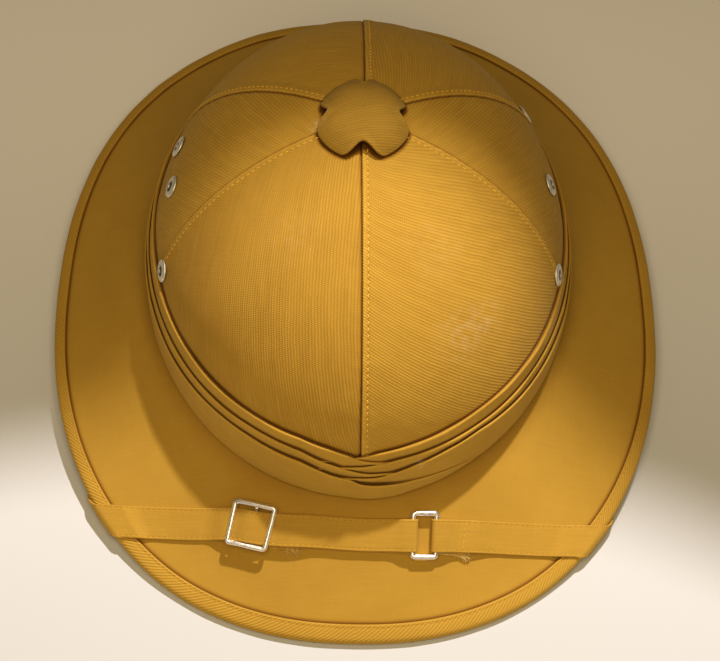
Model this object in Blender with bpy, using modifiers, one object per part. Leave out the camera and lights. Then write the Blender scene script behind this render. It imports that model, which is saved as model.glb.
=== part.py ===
"""Six-panel cloth-covered pith helmet: dome crown on a flared brim, bound brim edge,
pleated band, lobed vent cap, six air eyelets and a chin strap laid over the front brim.

Metres, +Z up. The front of the hat faces -Y. The origin is the middle of the footprint,
on the surface the brim rests on. Plan angle phi is 0 at the front and grows towards +X.
"""
import math

import bmesh
import bpy
from mathutils import Matrix, Vector

MM = 0.001

# ---- crown: an egg-shaped dome ------------------------------------------------------
CROWN_HALF_WIDTH = 96.5 * MM
CROWN_FRONT = 124.5 * MM          # from the crown's centre to its front foot
CROWN_BACK = 116.5 * MM           # and to its back foot
CROWN_CENTRE_Y = -2.7 * MM
CROWN_SPRING_Z = 48.0 * MM        # the wall is upright below this height
CROWN_TOP_Z = 145.8 * MM
CROWN_ROUND = 1.08                # power of the plan radius along the dome's arc
CROWN_RISE = 0.95                 # power of the height along the dome's arc
CROWN_WALL = 4.0 * MM
CROWN_FOOT_Z = 41.3 * MM
VENT_RADIUS = 9.0 * MM

# ---- brim: a flared shell under the crown -------------------------------------------
BRIM_HALF_WIDTH = 144.0 * MM
BRIM_HALF_LENGTH = 183.5 * MM
BRIM_WIDEST_Y = -8.5 * MM
BRIM_POWER = 2.24                 # superellipse power of the edge in plan
BRIM_ROOT_Z = 41.0 * MM           # top of the ring that the crown stands on
BRIM_THICKNESS = 3.0 * MM
BRIM_CURL = 0.30                  # how much steeper the brim leaves the crown
SIDE_RISE = 9.5 * MM              # the edge lifts at both sides
SIDE_RISE_FROM = 0.50             # sine of the plan angle where the lift starts

# ---- bound edge ---------------------------------------------------------------------
TAPE_THICKNESS = 0.9 * MM
TAPE_WIDTH = 8.0 * MM             # seen on top of the brim, from the outer edge
GAP = 0.3 * MM
NOSE = BRIM_THICKNESS / 2 + GAP + TAPE_THICKNESS
REST_HALF_ANGLE = math.radians(20)   # of the flat that the bound edge rests on

# ---- pleated band -------------------------------------------------------------------
BAND_TOP_Z = 69.8 * MM
BAND_TOP_SIDE_RISE = 1.6 * MM
BAND_LOW_Z = 39.3 * MM

# ---- vent cap -----------------------------------------------------------------------
CAP_RADIUS = 22.4 * MM
CAP_HEIGHT = 9.6 * MM
CAP_RIM_Z = 144.35 * MM
CAP_THICKNESS = 1.3 * MM
CAP_NOTCH_LIFT = math.radians(44)
CAP_NOTCH_HALF = math.radians(27)

# ---- eyelets ------------------------------------------------------------------------
EYELET_FLANGE = 5.2 * MM
EYELET_BARREL = 2.85 * MM
EYELET_HOLE = 2.3 * MM

# ---- chin strap ---------------------------------------------------------------------
STRAP_WIDTH = 14.8 * MM
STRAP_THICKNESS = 1.0 * MM
STRAP_GAP = 0.25 * MM
STRAP_FRONT_Y = -141.9 * MM
STRAP_SWEEP = 0.145               # how fast the strap's line bends back to the sides
STRAP_SWEEP_SOFT = 25.0 * MM
STRAP_SLANT = -0.026
FITTING_SKEW = 0.11               # slide and ring lean this much across the strap
SLIDE_U = -45.4 * MM
SLIDE_HALF_U = 8.5 * MM
SLIDE_HALF_V = 9.2 * MM
RING_LEFT_U = 25.4 * MM
RING_RIGHT_U = 35.6 * MM
RING_HALF_V = 9.3 * MM
RING_MID_V = -0.3 * MM
WIRE = 1.0 * MM
BAR_WIRE = 0.8 * MM

AROUND = 60                       # columns round the hat


def signed_power(value, power):
    return math.copysign(abs(value) ** power, value)


# ---- the surfaces that everything else sits on ----------------------------------------
def crown_plan(phi):
    """Foot of the crown: plan point and outward unit normal."""
    s, c = math.sin(phi), math.cos(phi)
    length = CROWN_FRONT if c > 0 else CROWN_BACK
    normal = Vector((s / CROWN_HALF_WIDTH, -c / length)).normalized()
    return Vector((CROWN_HALF_WIDTH * s, CROWN_CENTRE_Y - length * c)), normal


def crown_point(phi, t, off=0.0):
    """Outer face of the dome, t from 0 at the top to 1 at the upright wall."""
    s, c = math.sin(phi), math.cos(phi)
    length = CROWN_FRONT if c > 0 else CROWN_BACK
    arc = t * math.pi / 2
    radius = math.sin(arc) ** CROWN_ROUND
    height = max(math.cos(arc), 0.0) ** CROWN_RISE
    x, y = CROWN_HALF_WIDTH * radius * s, -length * radius * c
    slope = (2 / CROWN_ROUND) * max(radius, 1e-6) ** (2 / CROWN_ROUND - 2)
    rise = (2 / CROWN_RISE) * height ** (2 / CROWN_RISE - 1) / (CROWN_TOP_Z - CROWN_SPRING_Z)
    normal = Vector((slope * x / CROWN_HALF_WIDTH**2, slope * y / length**2, rise)).normalized()
    point = Vector((x, y + CROWN_CENTRE_Y, CROWN_SPRING_Z + (CROWN_TOP_Z - CROWN_SPRING_Z) * height))
    return point + off * normal, normal


def crown_t(z):
    share = min(1.0, max(0.0, (z - CROWN_SPRING_Z) / (CROWN_TOP_Z - CROWN_SPRING_Z)))
    return math.acos(share ** (1 / CROWN_RISE)) / (math.pi / 2)


def crown_wall_point(phi, z, off):
    """Crown's outer face at a height, moved outwards by off."""
    if z <= CROWN_SPRING_Z:
        foot, normal = crown_plan(phi)
        foot = foot + off * normal
        return Vector((foot.x, foot.y, z))
    return crown_point(phi, crown_t(z), off)[0]


def edge_plan(phi):
    s, c = math.sin(phi), math.cos(phi)
    reach = BRIM_HALF_LENGTH + (BRIM_WIDEST_Y if c > 0 else -BRIM_WIDEST_Y)
    return Vector((BRIM_HALF_WIDTH * signed_power(s, 2 / BRIM_POWER),
                   BRIM_WIDEST_Y - reach * signed_power(c, 2 / BRIM_POWER)))


def edge_rise(phi):
    return SIDE_RISE * (max(0.0, abs(math.sin(phi)) - SIDE_RISE_FROM) / (1 - SIDE_RISE_FROM)) ** 1.5


def brim_frame(phi, s):
    """Middle of the brim's thickness, s from 0 at the crown to 1 at the centre of its
    rounded edge: the point, the upward normal and the outward tangent."""
    root, _ = crown_plan(phi)
    out = edge_plan(phi) - root
    length = out.length - NOSE
    out.normalize()
    low = NOSE * math.cos(REST_HALF_ANGLE) + edge_rise(phi)
    top = BRIM_ROOT_Z - BRIM_THICKNESS / 2
    z = top + (low - top) * (s * (1 + BRIM_CURL) - BRIM_CURL * s * s)
    slope = (low - top) * ((1 + BRIM_CURL) - 2 * BRIM_CURL * s) / length
    tangent = Vector((out.x, out.y, slope)).normalized()
    normal = Vector((-slope * out.x, -slope * out.y, 1.0)).normalized()
    plan = root + out * (length * s)
    return Vector((plan.x, plan.y, z)), normal, tangent


def brim_at(x, y):
    """Plan angle and share s of the brim under a plan point."""
    def side(phi):
        root, _ = crown_plan(phi)
        out = edge_plan(phi) - root
        return out.x * (y - root.y) - out.y * (x - root.x)

    guess = math.atan2(x, -(y - CROWN_CENTRE_Y))
    low, high = guess - 0.5, guess + 0.5
    start = side(low)
    for _ in range(40):
        middle = (low + high) / 2
        if side(middle) * start > 0:
            low = middle
        else:
            high = middle
    phi = (low + high) / 2
    root, _ = crown_plan(phi)
    out = edge_plan(phi) - root
    return phi, (Vector((x, y)) - root).dot(out.normalized()) / (out.length - NOSE)


# ---- helpers ----------------------------------------------------------------------------
def angles(count):
    return [2 * math.pi * i / count for i in range(count)]


def material(name, colour, roughness, metallic=0.0):
    made = bpy.data.materials.new(name)
    made.use_nodes = True
    shader = made.node_tree.nodes["Principled BSDF"]
    shader.inputs["Base Color"].default_value = (*colour, 1.0)
    shader.inputs["Roughness"].default_value = roughness
    shader.inputs["Metallic"].default_value = metallic
    made.diffuse_color = (*colour, 1.0)
    return made


def add_object(name, mesh, finish, where):
    made = bpy.data.objects.new(name, mesh)
    where.objects.link(made)
    if finish:
        mesh.materials.append(finish)
    return made


def surface(name, rows, close_rows=True, close_columns=False, outward=None):
    """Mesh through rows of points. close_rows joins each row's end to its start,
    close_columns joins the last row to the first."""
    bm = bmesh.new()
    grid = [[bm.verts.new(p) for p in row] for row in rows]
    width = len(rows[0])
    for a in range(len(grid) if close_columns else len(grid) - 1):
        first, second = grid[a], grid[(a + 1) % len(grid)]
        for i in range(width if close_rows else width - 1):
            j = (i + 1) % width
            bm.faces.new((first[i], first[j], second[j], second[i]))
    if close_rows and close_columns:
        bmesh.ops.recalc_face_normals(bm, faces=bm.faces)
    elif outward is not None:
        bm.normal_update()
        face = bm.faces[:][len(bm.faces) // 2]
        if face.normal.dot(outward(face.calc_center_median())) < 0:
            bmesh.ops.reverse_faces(bm, faces=bm.faces)
    mesh = bpy.data.meshes.new(name)
    bm.to_mesh(mesh)
    bm.free()
    mesh.shade_smooth()
    mesh.set_sharp_from_angle(angle=math.radians(38))
    return mesh


def thicken(piece, thickness, offset):
    shell = piece.modifiers.new("wall", "SOLIDIFY")
    shell.thickness = thickness
    shell.offset = offset
    return shell


def turned(name, profile, steps, finish, where):
    """Solid of revolution about the local Z axis from a closed profile of (radius, z)."""
    bm = bmesh.new()
    verts = [bm.verts.new((r, 0.0, z)) for r, z in profile]
    for i, vert in enumerate(verts):
        bm.edges.new((vert, verts[(i + 1) % len(verts)]))
    mesh = bpy.data.meshes.new(name)
    bm.to_mesh(mesh)
    bm.free()
    made = add_object(name, mesh, finish, where)
    screw = made.modifiers.new("turn", "SCREW")
    screw.angle = 2 * math.pi
    screw.steps = screw.render_steps = steps
    screw.use_merge_vertices = True
    screw.merge_threshold = 0.00001
    screw.use_smooth_shade = True
    return made


def wire(name, points, radius, cyclic, resolution=2):
    data = bpy.data.curves.new(name, "CURVE")
    data.dimensions = "3D"
    data.bevel_depth = radius
    data.bevel_resolution = resolution
    data.use_fill_caps = True
    run = data.splines.new("POLY")
    run.points.add(len(points) - 1)
    for place, point in zip(run.points, points):
        place.co = (*point, 1.0)
    run.use_cyclic_u = cyclic
    return data


def wire_mesh(name, points, radius, cyclic):
    """A bent wire as a closed mesh, its end caps welded to its sides."""
    curve = wire(name + "_path", points, radius, cyclic)
    holder = bpy.data.objects.new(name + "_path", curve)
    bpy.context.scene.collection.objects.link(holder)
    depsgraph = bpy.context.evaluated_depsgraph_get()
    mesh = bpy.data.meshes.new_from_object(holder.evaluated_get(depsgraph))
    bm = bmesh.new()
    bm.from_mesh(mesh)
    bmesh.ops.remove_doubles(bm, verts=bm.verts, dist=0.000001)
    bm.to_mesh(mesh)
    bm.free()
    bpy.data.objects.remove(holder)
    bpy.data.curves.remove(curve)
    mesh.name = name
    mesh.shade_smooth()
    return mesh


# ---- empty scene and collections --------------------------------------------------------
for old in list(bpy.data.objects):
    bpy.data.objects.remove(old)

parts = bpy.data.collections.new("pith_helmet")
cutters = bpy.data.collections.new("cutters")
bpy.context.scene.collection.children.link(parts)
bpy.context.scene.collection.children.link(cutters)

crown_cloth = material("crown_khaki_twill", (0.47, 0.30, 0.10), 0.85)
brim_cloth = material("brim_khaki_cloth", (0.44, 0.28, 0.09), 0.85)
band_cloth = material("band_khaki_cloth", (0.42, 0.26, 0.08), 0.85)
cap_cloth = material("cap_khaki_cloth", (0.42, 0.27, 0.09), 0.85)
tape_cloth = material("binding_tape", (0.40, 0.25, 0.08), 0.8)
strap_cloth = material("strap_webbing", (0.52, 0.34, 0.12), 0.8)
slide_metal = material("slide_nickel", (0.78, 0.74, 0.62), 0.28, 1.0)
ring_metal = material("ring_nickel", (0.80, 0.77, 0.68), 0.28, 1.0)
eyelet_metal = material("eyelet_metal", (0.78, 0.74, 0.62), 0.42, 1.0)
post_metal = material("post_steel", (0.45, 0.45, 0.45), 0.4, 1.0)

# ---- crown --------------------------------------------------------------------------------
# Heights of the rows of the outer face between the upright wall and the top.
CROWN_ROWS_Z = [48.0, 57.0, 66.0, 78.0, 90.0, 101.0, 111.0, 120.0, 128.0, 135.0, 140.5, 144.2]
rows = [[crown_wall_point(phi, CROWN_FOOT_Z, 0.0) for phi in angles(AROUND)]]
for z in CROWN_ROWS_Z:
    rows.append([crown_wall_point(phi, z * MM, 0.0) for phi in angles(AROUND)])
rows.append([crown_point(phi, 0.03)[0] for phi in angles(AROUND)])
crown_centre = Vector((0.0, CROWN_CENTRE_Y, CROWN_SPRING_Z))
crown = add_object("crown", surface("crown", rows, outward=lambda p: p - crown_centre), crown_cloth, parts)
thicken(crown, CROWN_WALL, -1.0)

# Eyelets: side, place along the crown, plan angle in degrees and height.
EYELETS = [
    # name,                 phi,    z in mm
    ("eyelet_left_front", -73.5, 76.8),
    ("eyelet_left_middle", -90.5, 93.5),
    ("eyelet_left_rear", -104.0, 92.5),
    ("eyelet_right_front", 74.5, 76.8),
    ("eyelet_right_middle", 94.0, 92.5),
    ("eyelet_right_rear", 122.0, 80.5),
]
eyelet_places = []
cut = bmesh.new()
for name, degrees, z in EYELETS:
    point, normal = crown_point(math.radians(degrees), crown_t(z * MM))
    place = Matrix.Translation(point) @ normal.to_track_quat("Z", "Y").to_matrix().to_4x4()
    eyelet_places.append((name, place))
    bmesh.ops.create_cone(cut, cap_ends=True, segments=16, radius1=EYELET_BARREL + GAP,
                          radius2=EYELET_BARREL + GAP, depth=16 * MM, matrix=place)
bmesh.ops.create_cone(cut, cap_ends=True, segments=32, radius1=VENT_RADIUS, radius2=VENT_RADIUS,
                      depth=20 * MM, matrix=Matrix.Translation((0.0, CROWN_CENTRE_Y, CROWN_TOP_Z)))
cut_mesh = bpy.data.meshes.new("crown_holes")
cut.to_mesh(cut_mesh)
cut.free()
holes = add_object("crown_holes", cut_mesh, None, cutters)
holes.hide_render = True
holes.display_type = "WIRE"
drill = crown.modifiers.new("holes", "BOOLEAN")
drill.operation = "DIFFERENCE"
drill.solver = "EXACT"
drill.object = holes

eyelet_profile = [
    (EYELET_HOLE, 1.25 * MM), (3.1 * MM, 1.55 * MM), (4.2 * MM, 1.35 * MM), (EYELET_FLANGE, 0.75 * MM),
    (EYELET_FLANGE, GAP), (EYELET_BARREL, GAP), (EYELET_BARREL, -CROWN_WALL - 0.6 * MM),
    (EYELET_HOLE, -CROWN_WALL - 0.6 * MM),
]
for name, place in eyelet_places:
    eyelet = turned(name, eyelet_profile, 16, eyelet_metal, parts)
    eyelet.matrix_world = place

# ---- brim -------------------------------------------------------------------------------
BRIM_ROWS = [0.0, 0.10, 0.24, 0.42, 0.62, 0.82, 1.0]
rows = []
flange = []
for phi in angles(AROUND):
    foot, normal = crown_plan(phi)
    foot = foot - CROWN_WALL * normal
    flange.append(Vector((foot.x, foot.y, BRIM_ROOT_Z - BRIM_THICKNESS / 2)))
rows.append(flange)
for s in BRIM_ROWS:
    rows.append([brim_frame(phi, s)[0] for phi in angles(AROUND)])
brim = add_object("brim", surface("brim", rows, outward=lambda p: Vector((0, 0, 1))), brim_cloth, parts)
thicken(brim, BRIM_THICKNESS, 0.0)

# ---- binding: a folded tape round the brim's edge -------------------------------------------
def binding_section(phi):
    """Closed section: outer face from the top leg round the edge, back along the inside."""
    length = (edge_plan(phi) - crown_plan(phi)[0]).length - NOSE
    reach = (TAPE_WIDTH - NOSE) / length
    outer, inner = NOSE, NOSE - TAPE_THICKNESS
    points = []
    for share in (1.0, 0.5):
        middle, normal, _ = brim_frame(phi, 1 - reach * share)
        points.append(middle + normal * outer)
    centre, normal, tangent = brim_frame(phi, 1.0)
    down = math.atan2(tangent.z, math.hypot(tangent.x, tangent.y))
    plan_out = Vector((tangent.x, tangent.y, 0.0)).normalized()
    top_angle = math.pi / 2 + down
    # The rounded edge, turning from the top face to the flat that it rests on.
    rest_out = -math.pi / 2 + REST_HALF_ANGLE
    rest_in = -math.pi / 2 - REST_HALF_ANGLE
    under = down - math.pi / 2
    steps = [top_angle, top_angle * 0.62 + rest_out * 0.38, top_angle * 0.28 + rest_out * 0.72,
             rest_out, rest_in]
    for angle in steps:
        points.append(centre + outer * (plan_out * math.cos(angle) + Vector((0, 0, math.sin(angle)))))
    for share in (0.45, 1.0):
        middle, normal, _ = brim_frame(phi, 1 - reach * share)
        points.append(middle - normal * outer)
    middle, normal, _ = brim_frame(phi, 1 - reach)
    points.append(middle - normal * inner)
    for angle in (under - 0.05, (under + top_angle) / 2 - 0.45, (under + top_angle) / 2 + 0.45, top_angle):
        points.append(centre + inner * 1.04 * (plan_out * math.cos(angle) + Vector((0, 0, math.sin(angle)))))
    points.append(middle + normal * inner)
    return points


rows = [binding_section(phi) for phi in angles(AROUND)]
binding = add_object("brim_binding", surface("brim_binding", rows, close_rows=True, close_columns=True),
                     tape_cloth, parts)

# ---- pleated band -----------------------------------------------------------------------
# Section of the band: share of its height and offset from the crown, top to bottom. Each
# pleat's folded top edge stands proud of the pleat above it.
BAND_FACE = [
    # share, offset in mm
    (1.00, 1.00),
    (0.985, 1.55),
    (0.715, 1.30),
    (0.70, 2.30),
    (0.465, 2.00),
    (0.45, 3.00),
    (0.07, 3.25),
    (0.00, 2.95),
]
BAND_BACK_Z = [41.65, 48.0, 57.0, 66.0]


def band_section(phi):
    top = BAND_TOP_Z + BAND_TOP_SIDE_RISE * math.sin(phi) ** 2
    points = []
    for share, off in BAND_FACE:
        points.append(crown_wall_point(phi, BAND_LOW_Z + (top - BAND_LOW_Z) * share, off * MM))
    for z in BAND_BACK_Z:
        points.append(crown_wall_point(phi, z * MM, 0.35 * MM))
    points.append(crown_wall_point(phi, top, 0.40 * MM))
    return points


rows = [band_section(phi) for phi in angles(AROUND)]
add_object("puggaree", surface("puggaree", rows, close_rows=True, close_columns=True), band_cloth, parts)

# ---- vent cap ---------------------------------------------------------------------------
CAP_ROWS = [0.04, 0.2, 0.4, 0.6, 0.78, 0.92, 1.0]
CAP_AROUND = 48


def cap_point(theta, share):
    """Dome with four scallops lifted at the front, sides and back."""
    offset = (theta + math.pi / 4) % (math.pi / 2) - math.pi / 4
    notch = math.cos(math.pi / 2 * min(1.0, abs(offset) / CAP_NOTCH_HALF)) ** 2
    arc = (math.pi / 2 - CAP_NOTCH_LIFT * notch) * share
    radius = CAP_RADIUS * math.sin(arc) ** 0.92
    z = CAP_RIM_Z + CAP_HEIGHT * math.cos(arc) ** 0.85
    return Vector((radius * math.sin(theta), CROWN_CENTRE_Y - radius * math.cos(theta), z))


rows = [[cap_point(theta, share) for theta in angles(CAP_AROUND)] for share in CAP_ROWS]
bm = bmesh.new()
grid = [[bm.verts.new(p) for p in row] for row in rows]
for first, second in zip(grid, grid[1:]):
    for i in range(CAP_AROUND):
        j = (i + 1) % CAP_AROUND
        bm.faces.new((first[i], second[i], second[j], first[j]))
bm.faces.new(grid[0])
bm.normal_update()
if sum(face.normal.z for face in bm.faces) < 0:
    bmesh.ops.reverse_faces(bm, faces=bm.faces)
bmesh.ops.recalc_face_normals(bm, faces=bm.faces)
bm.normal_update()
if sum(face.normal.z for face in bm.faces) < 0:
    bmesh.ops.reverse_faces(bm, faces=bm.faces)
cap_mesh = bpy.data.meshes.new("vent_cap")
bm.to_mesh(cap_mesh)
bm.free()
cap_mesh.shade_smooth()
cap = add_object("vent_cap", cap_mesh, cap_cloth, parts)
thicken(cap, CAP_THICKNESS, -1.0)

# ---- post that carries the cap, on a bridge across the vent hole ------------------------
POST_TOP = CAP_RIM_Z + CAP_HEIGHT - CAP_THICKNESS - 0.4 * MM
BRIDGE_Z = 139.6 * MM
post = turned("vent_post", [
    (0.8 * MM, POST_TOP), (6.0 * MM, POST_TOP - 0.4 * MM), (6.0 * MM, POST_TOP - 1.5 * MM),
    (3.0 * MM, POST_TOP - 1.9 * MM), (3.0 * MM, BRIDGE_Z - 1.0 * MM), (0.8 * MM, BRIDGE_Z - 1.0 * MM),
], 16, post_metal, parts)
post.location = (0.0, CROWN_CENTRE_Y, 0.0)
bm = bmesh.new()
bmesh.ops.create_cube(bm, size=1.0, matrix=Matrix.Translation((0.0, CROWN_CENTRE_Y, BRIDGE_Z))
                      @ Matrix.Diagonal((7 * MM, 27 * MM, 1.2 * MM, 1.0)))
bridge_mesh = bpy.data.meshes.new("bridge")
bm.to_mesh(bridge_mesh)
bm.free()
bridge = add_object("bridge", bridge_mesh, None, cutters)
bridge.hide_render = True
bridge.display_type = "WIRE"
join = post.modifiers.new("bridge", "BOOLEAN")
join.operation = "UNION"
join.solver = "EXACT"
join.object = bridge

# ---- chin strap -------------------------------------------------------------------------
def strap_line(u):
    """Plan y of the strap's middle line across the front brim."""
    swing = -0.10 * (u - SLIDE_U) * math.exp(-((u - SLIDE_U) / (14 * MM)) ** 2)
    return (STRAP_FRONT_Y + STRAP_SWEEP * (math.hypot(u, STRAP_SWEEP_SOFT) - STRAP_SWEEP_SOFT)
            + STRAP_SLANT * u + swing)


def strap_skew(u):
    return FITTING_SKEW * max(0.0, min(1.0, (85 * MM - abs(u)) / (20 * MM)))


def over_brim(u, v, height):
    """Point over the front brim: u along the strap, v across it towards the crown, and
    height above the cloth of the brim."""
    step = 0.5 * MM
    ends = []
    for side in (u - step, u + step):
        y = strap_line(side)
        ends.append(brim_frame(*brim_at(side, y))[0])
    along = (ends[1] - ends[0]).normalized()
    middle, normal, _ = brim_frame(*brim_at(u, strap_line(u)))
    across = normal.cross(along)
    lean = strap_skew(u)
    x = middle.x + v * (across.x + lean * along.x)
    y = middle.y + v * (across.y + lean * along.y)
    base, normal, _ = brim_frame(*brim_at(x, y))
    return base + normal * (BRIM_THICKNESS / 2 + height)


def share_over(u, v):
    point = over_brim(u, v, 0.0)
    return brim_at(point.x, point.y)


def edge_crossing(side, v):
    """u where a line at v along the strap meets the centre of the rounded edge."""
    low, high = 60 * MM, 140 * MM
    for _ in range(34):
        middle = (low + high) / 2
        if share_over(side * middle, v)[1] < 1.0:
            low = middle
        else:
            high = middle
    return side * (low + high) / 2


REST_HEIGHT = STRAP_GAP + STRAP_THICKNESS / 2                # middle of a strap on the brim
TAPE_HEIGHT = REST_HEIGHT + GAP + TAPE_THICKNESS             # middle of a strap on the binding
LAYER = STRAP_THICKNESS + STRAP_GAP                          # one strap layer on another
WRAP = NOSE + REST_HEIGHT                                    # radius of the fold round the edge
COLUMNS = [-0.5, -1 / 6, 1 / 6, 0.5]
SKEW_FROM = 70 * MM


def ease(value, start, end):
    share = min(1.0, max(0.0, (value - start) / (end - start)))
    return share * share * (3 - 2 * share)


def hidden_run(side):
    """Columns of the strap from the brim's edge, round it, under the brim and up the
    inside of the crown. Returns one list of points for each column."""
    mid_u = edge_crossing(side, 0.0)
    ends = [over_brim(mid_u - side * MM, 0.0, 0.0), over_brim(mid_u, 0.0, 0.0)]
    heading = (ends[1] - ends[0]).normalized()
    mid_phi = share_over(mid_u, 0.0)[0]
    _, _, outward = brim_frame(mid_phi, 1.0)
    slant = math.acos(max(-1.0, min(1.0, heading.dot(outward))))

    def around_radius(phi, s):
        step = 0.01
        return (brim_frame(phi + step, s)[0] - brim_frame(phi - step, s)[0]).length / (2 * step)

    edge_radius = around_radius(mid_phi, 1.0)
    starts = [share_over(edge_crossing(side, STRAP_WIDTH * c), STRAP_WIDTH * c)[0] for c in COLUMNS]
    columns = [[] for _ in COLUMNS]
    folds = 8
    for column, start in zip(columns, starts):
        for k in range(1, folds + 1):
            turn = math.pi * k / folds
            phi = start + side * WRAP * turn * math.tan(slant) / edge_radius
            centre, normal, tangent = brim_frame(phi, 1.0)
            column.append(centre + WRAP * (normal * math.cos(turn) + tangent * math.sin(turn)))
    shift = side * WRAP * math.pi * math.tan(slant) / edge_radius
    phi = mid_phi + shift
    spread = [start - mid_phi for start in starts]
    angle = slant
    length = (edge_plan(phi) - crown_plan(phi)[0]).length - NOSE
    steps = 13
    for k in range(1, steps + 1):
        s = 1 - k / steps
        angle = slant + (math.radians(57) - slant) * ease(1 - s, 0.0, 0.5)
        phi += side * math.tan(angle) * (length / steps) / around_radius(phi, s)
        scale = edge_radius * math.cos(slant) / (around_radius(phi, s) * math.cos(angle))
        for column, offset in zip(columns, spread):
            here = phi + offset * scale
            base, normal, _ = brim_frame(here, s)
            drop = TAPE_HEIGHT + (REST_HEIGHT - TAPE_HEIGHT) * ease((1 - s) * length, 6 * MM, 11 * MM)
            if k == steps:
                # The inner corner between the flared brim and the level ring at its root.
                normal = (normal + Vector((0, 0, 1))).normalized()
                drop = (BRIM_THICKNESS / 2 + drop) / normal.z - BRIM_THICKNESS / 2
            column.append(base - normal * (BRIM_THICKNESS / 2 + drop))
    # Round the ring's inner corner and up the inside of the crown.
    low = BRIM_ROOT_Z - BRIM_THICKNESS
    path = [(0.5 * CROWN_WALL, low - REST_HEIGHT), (CROWN_WALL, low - REST_HEIGHT)]
    for k in (1, 2, 3):
        turn = math.pi / 2 * k / 3
        path.append((CROWN_WALL + REST_HEIGHT * math.sin(turn), low - REST_HEIGHT * math.cos(turn)))
    for z in (44, 48, 52, 56, 60):
        path.append((None, z * MM))
    radius = around_radius(phi, 0.0)
    angle_in = math.radians(40)
    scale = edge_radius * math.cos(slant) / (radius * math.cos(angle_in))
    before = (0.0, low - REST_HEIGHT)
    for inset, z in path:
        place = (CROWN_WALL + REST_HEIGHT if inset is None else inset, z)
        phi += side * math.tan(angle_in) * math.hypot(place[0] - before[0], place[1] - before[1]) / radius
        before = place
        for column, offset in zip(columns, spread):
            column.append(crown_wall_point(phi + offset * scale, z, -place[0]))
    return columns


def over_run(side, profile):
    """Columns over the brim from a list of (u, height), skewed to meet the edge."""
    mid_u = edge_crossing(side, 0.0)
    columns = []
    for c in COLUMNS:
        v = STRAP_WIDTH * c
        end_u = edge_crossing(side, v)
        column = []
        for u, height in profile:
            past = side * u - SKEW_FROM
            if past > 0:
                u = side * (SKEW_FROM + past * (side * end_u - SKEW_FROM) / (side * mid_u - SKEW_FROM))
            column.append(over_brim(u, v, height))
        columns.append(column)
    return columns


def outer_profile(side, inner_u, height_at_inner):
    """(u, height) from a place on the strap out to the edge, rising onto the binding."""
    mid_u = abs(edge_crossing(side, 0.0))
    count = 14
    profile = []
    for k in range(count + 1):
        u = abs(inner_u) + (mid_u - abs(inner_u)) * k / count
        height = height_at_inner + (REST_HEIGHT - height_at_inner) * ease(u, abs(inner_u), abs(inner_u) + 11 * MM)
        height += (TAPE_HEIGHT - REST_HEIGHT) * ease(u, mid_u - 15 * MM, mid_u - 9 * MM)
        profile.append((side * u, height))
    return profile


def arc(centre_u, centre_h, radius, start, end, steps):
    """(u, height) round a wire, angles in degrees from the u axis."""
    return [(centre_u + radius * math.cos(math.radians(start + (end - start) * k / steps)),
             centre_h + radius * math.sin(math.radians(start + (end - start) * k / steps)))
            for k in range(steps + 1)]


RING_LOOP = WIRE + 0.2 * MM + STRAP_THICKNESS / 2
RING_HEIGHT = REST_HEIGHT + RING_LOOP
BAR_LOOP = BAR_WIRE + 0.2 * MM + STRAP_THICKNESS / 2
BAR_HEIGHT = 3.0 * MM
TOP_LAYER = REST_HEIGHT + 2 * LAYER
LEG_HEIGHT = TOP_LAYER + STRAP_THICKNESS / 2 + 0.25 * MM + WIRE
HUMP = BAR_HEIGHT + BAR_LOOP + LAYER + 0.05 * MM

# Long piece: from the left edge, through the slide and to the ring's left leg, then back
# beneath itself to the slide's middle bar, where its end is folded under and sewn down.
left_start = list(reversed(outer_profile(-1, -66 * MM, REST_HEIGHT)))
over = []
left_leg, right_leg = SLIDE_U - SLIDE_HALF_U, SLIDE_U + SLIDE_HALF_U
for k in range(1, 5):
    u = -66 * MM + (left_leg + 66 * MM) * k / 4
    over.append((u, REST_HEIGHT + (TOP_LAYER - REST_HEIGHT) * ease(u, -66 * MM, left_leg)))
for k in range(1, 13):
    u = left_leg + (right_leg - left_leg) * k / 12
    wave = (1 - math.cos(2 * math.pi * k / 12)) / 2
    over.append((u, TOP_LAYER + (HUMP - TOP_LAYER) * wave))
for u in (-32, -28, -24, -20, -16, -10, -4, 3, 9, 14):
    u *= MM
    over.append((u, TOP_LAYER + (REST_HEIGHT + LAYER - TOP_LAYER) * ease(u, -28 * MM, -14 * MM)))
over += [(18 * MM, REST_HEIGHT + LAYER + 0.5 * MM), (21.5 * MM, REST_HEIGHT + LAYER + 1.6 * MM)]
over += arc(RING_LEFT_U, RING_HEIGHT, RING_LOOP, 110, -90, 9)
for u in (20, 14, 8, 2, -4, -10, -15, -19, -23, -27, -31, -34.5):
    u *= MM
    over.append((u, REST_HEIGHT + LAYER * ease(-u, 14 * MM, 23 * MM)))
over += [(-37.5 * MM, REST_HEIGHT + LAYER + 0.45 * MM), (-40.3 * MM, REST_HEIGHT + LAYER + 1.15 * MM)]
over[-1] = (-40.6 * MM, REST_HEIGHT + LAYER + 1.5 * MM)
over += arc(SLIDE_U, BAR_HEIGHT, BAR_LOOP, 58, 262, 9)
over += [(-42.6 * MM, REST_HEIGHT + 0.35 * MM), (-39.5 * MM, REST_HEIGHT), (-35 * MM, REST_HEIGHT),
         (-30 * MM, REST_HEIGHT), (-25.5 * MM, REST_HEIGHT)]
hidden = hidden_run(-1)
shown = over_run(-1, left_start + over)
rows = []
for under, top in zip(hidden, shown):
    rows.append(list(reversed(under)) + top)
long_rows = rows
strap_long = add_object("chin_strap_long", surface("chin_strap_long", rows, close_rows=False), strap_cloth, parts)
thicken(strap_long, STRAP_THICKNESS, 0.0)

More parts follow.
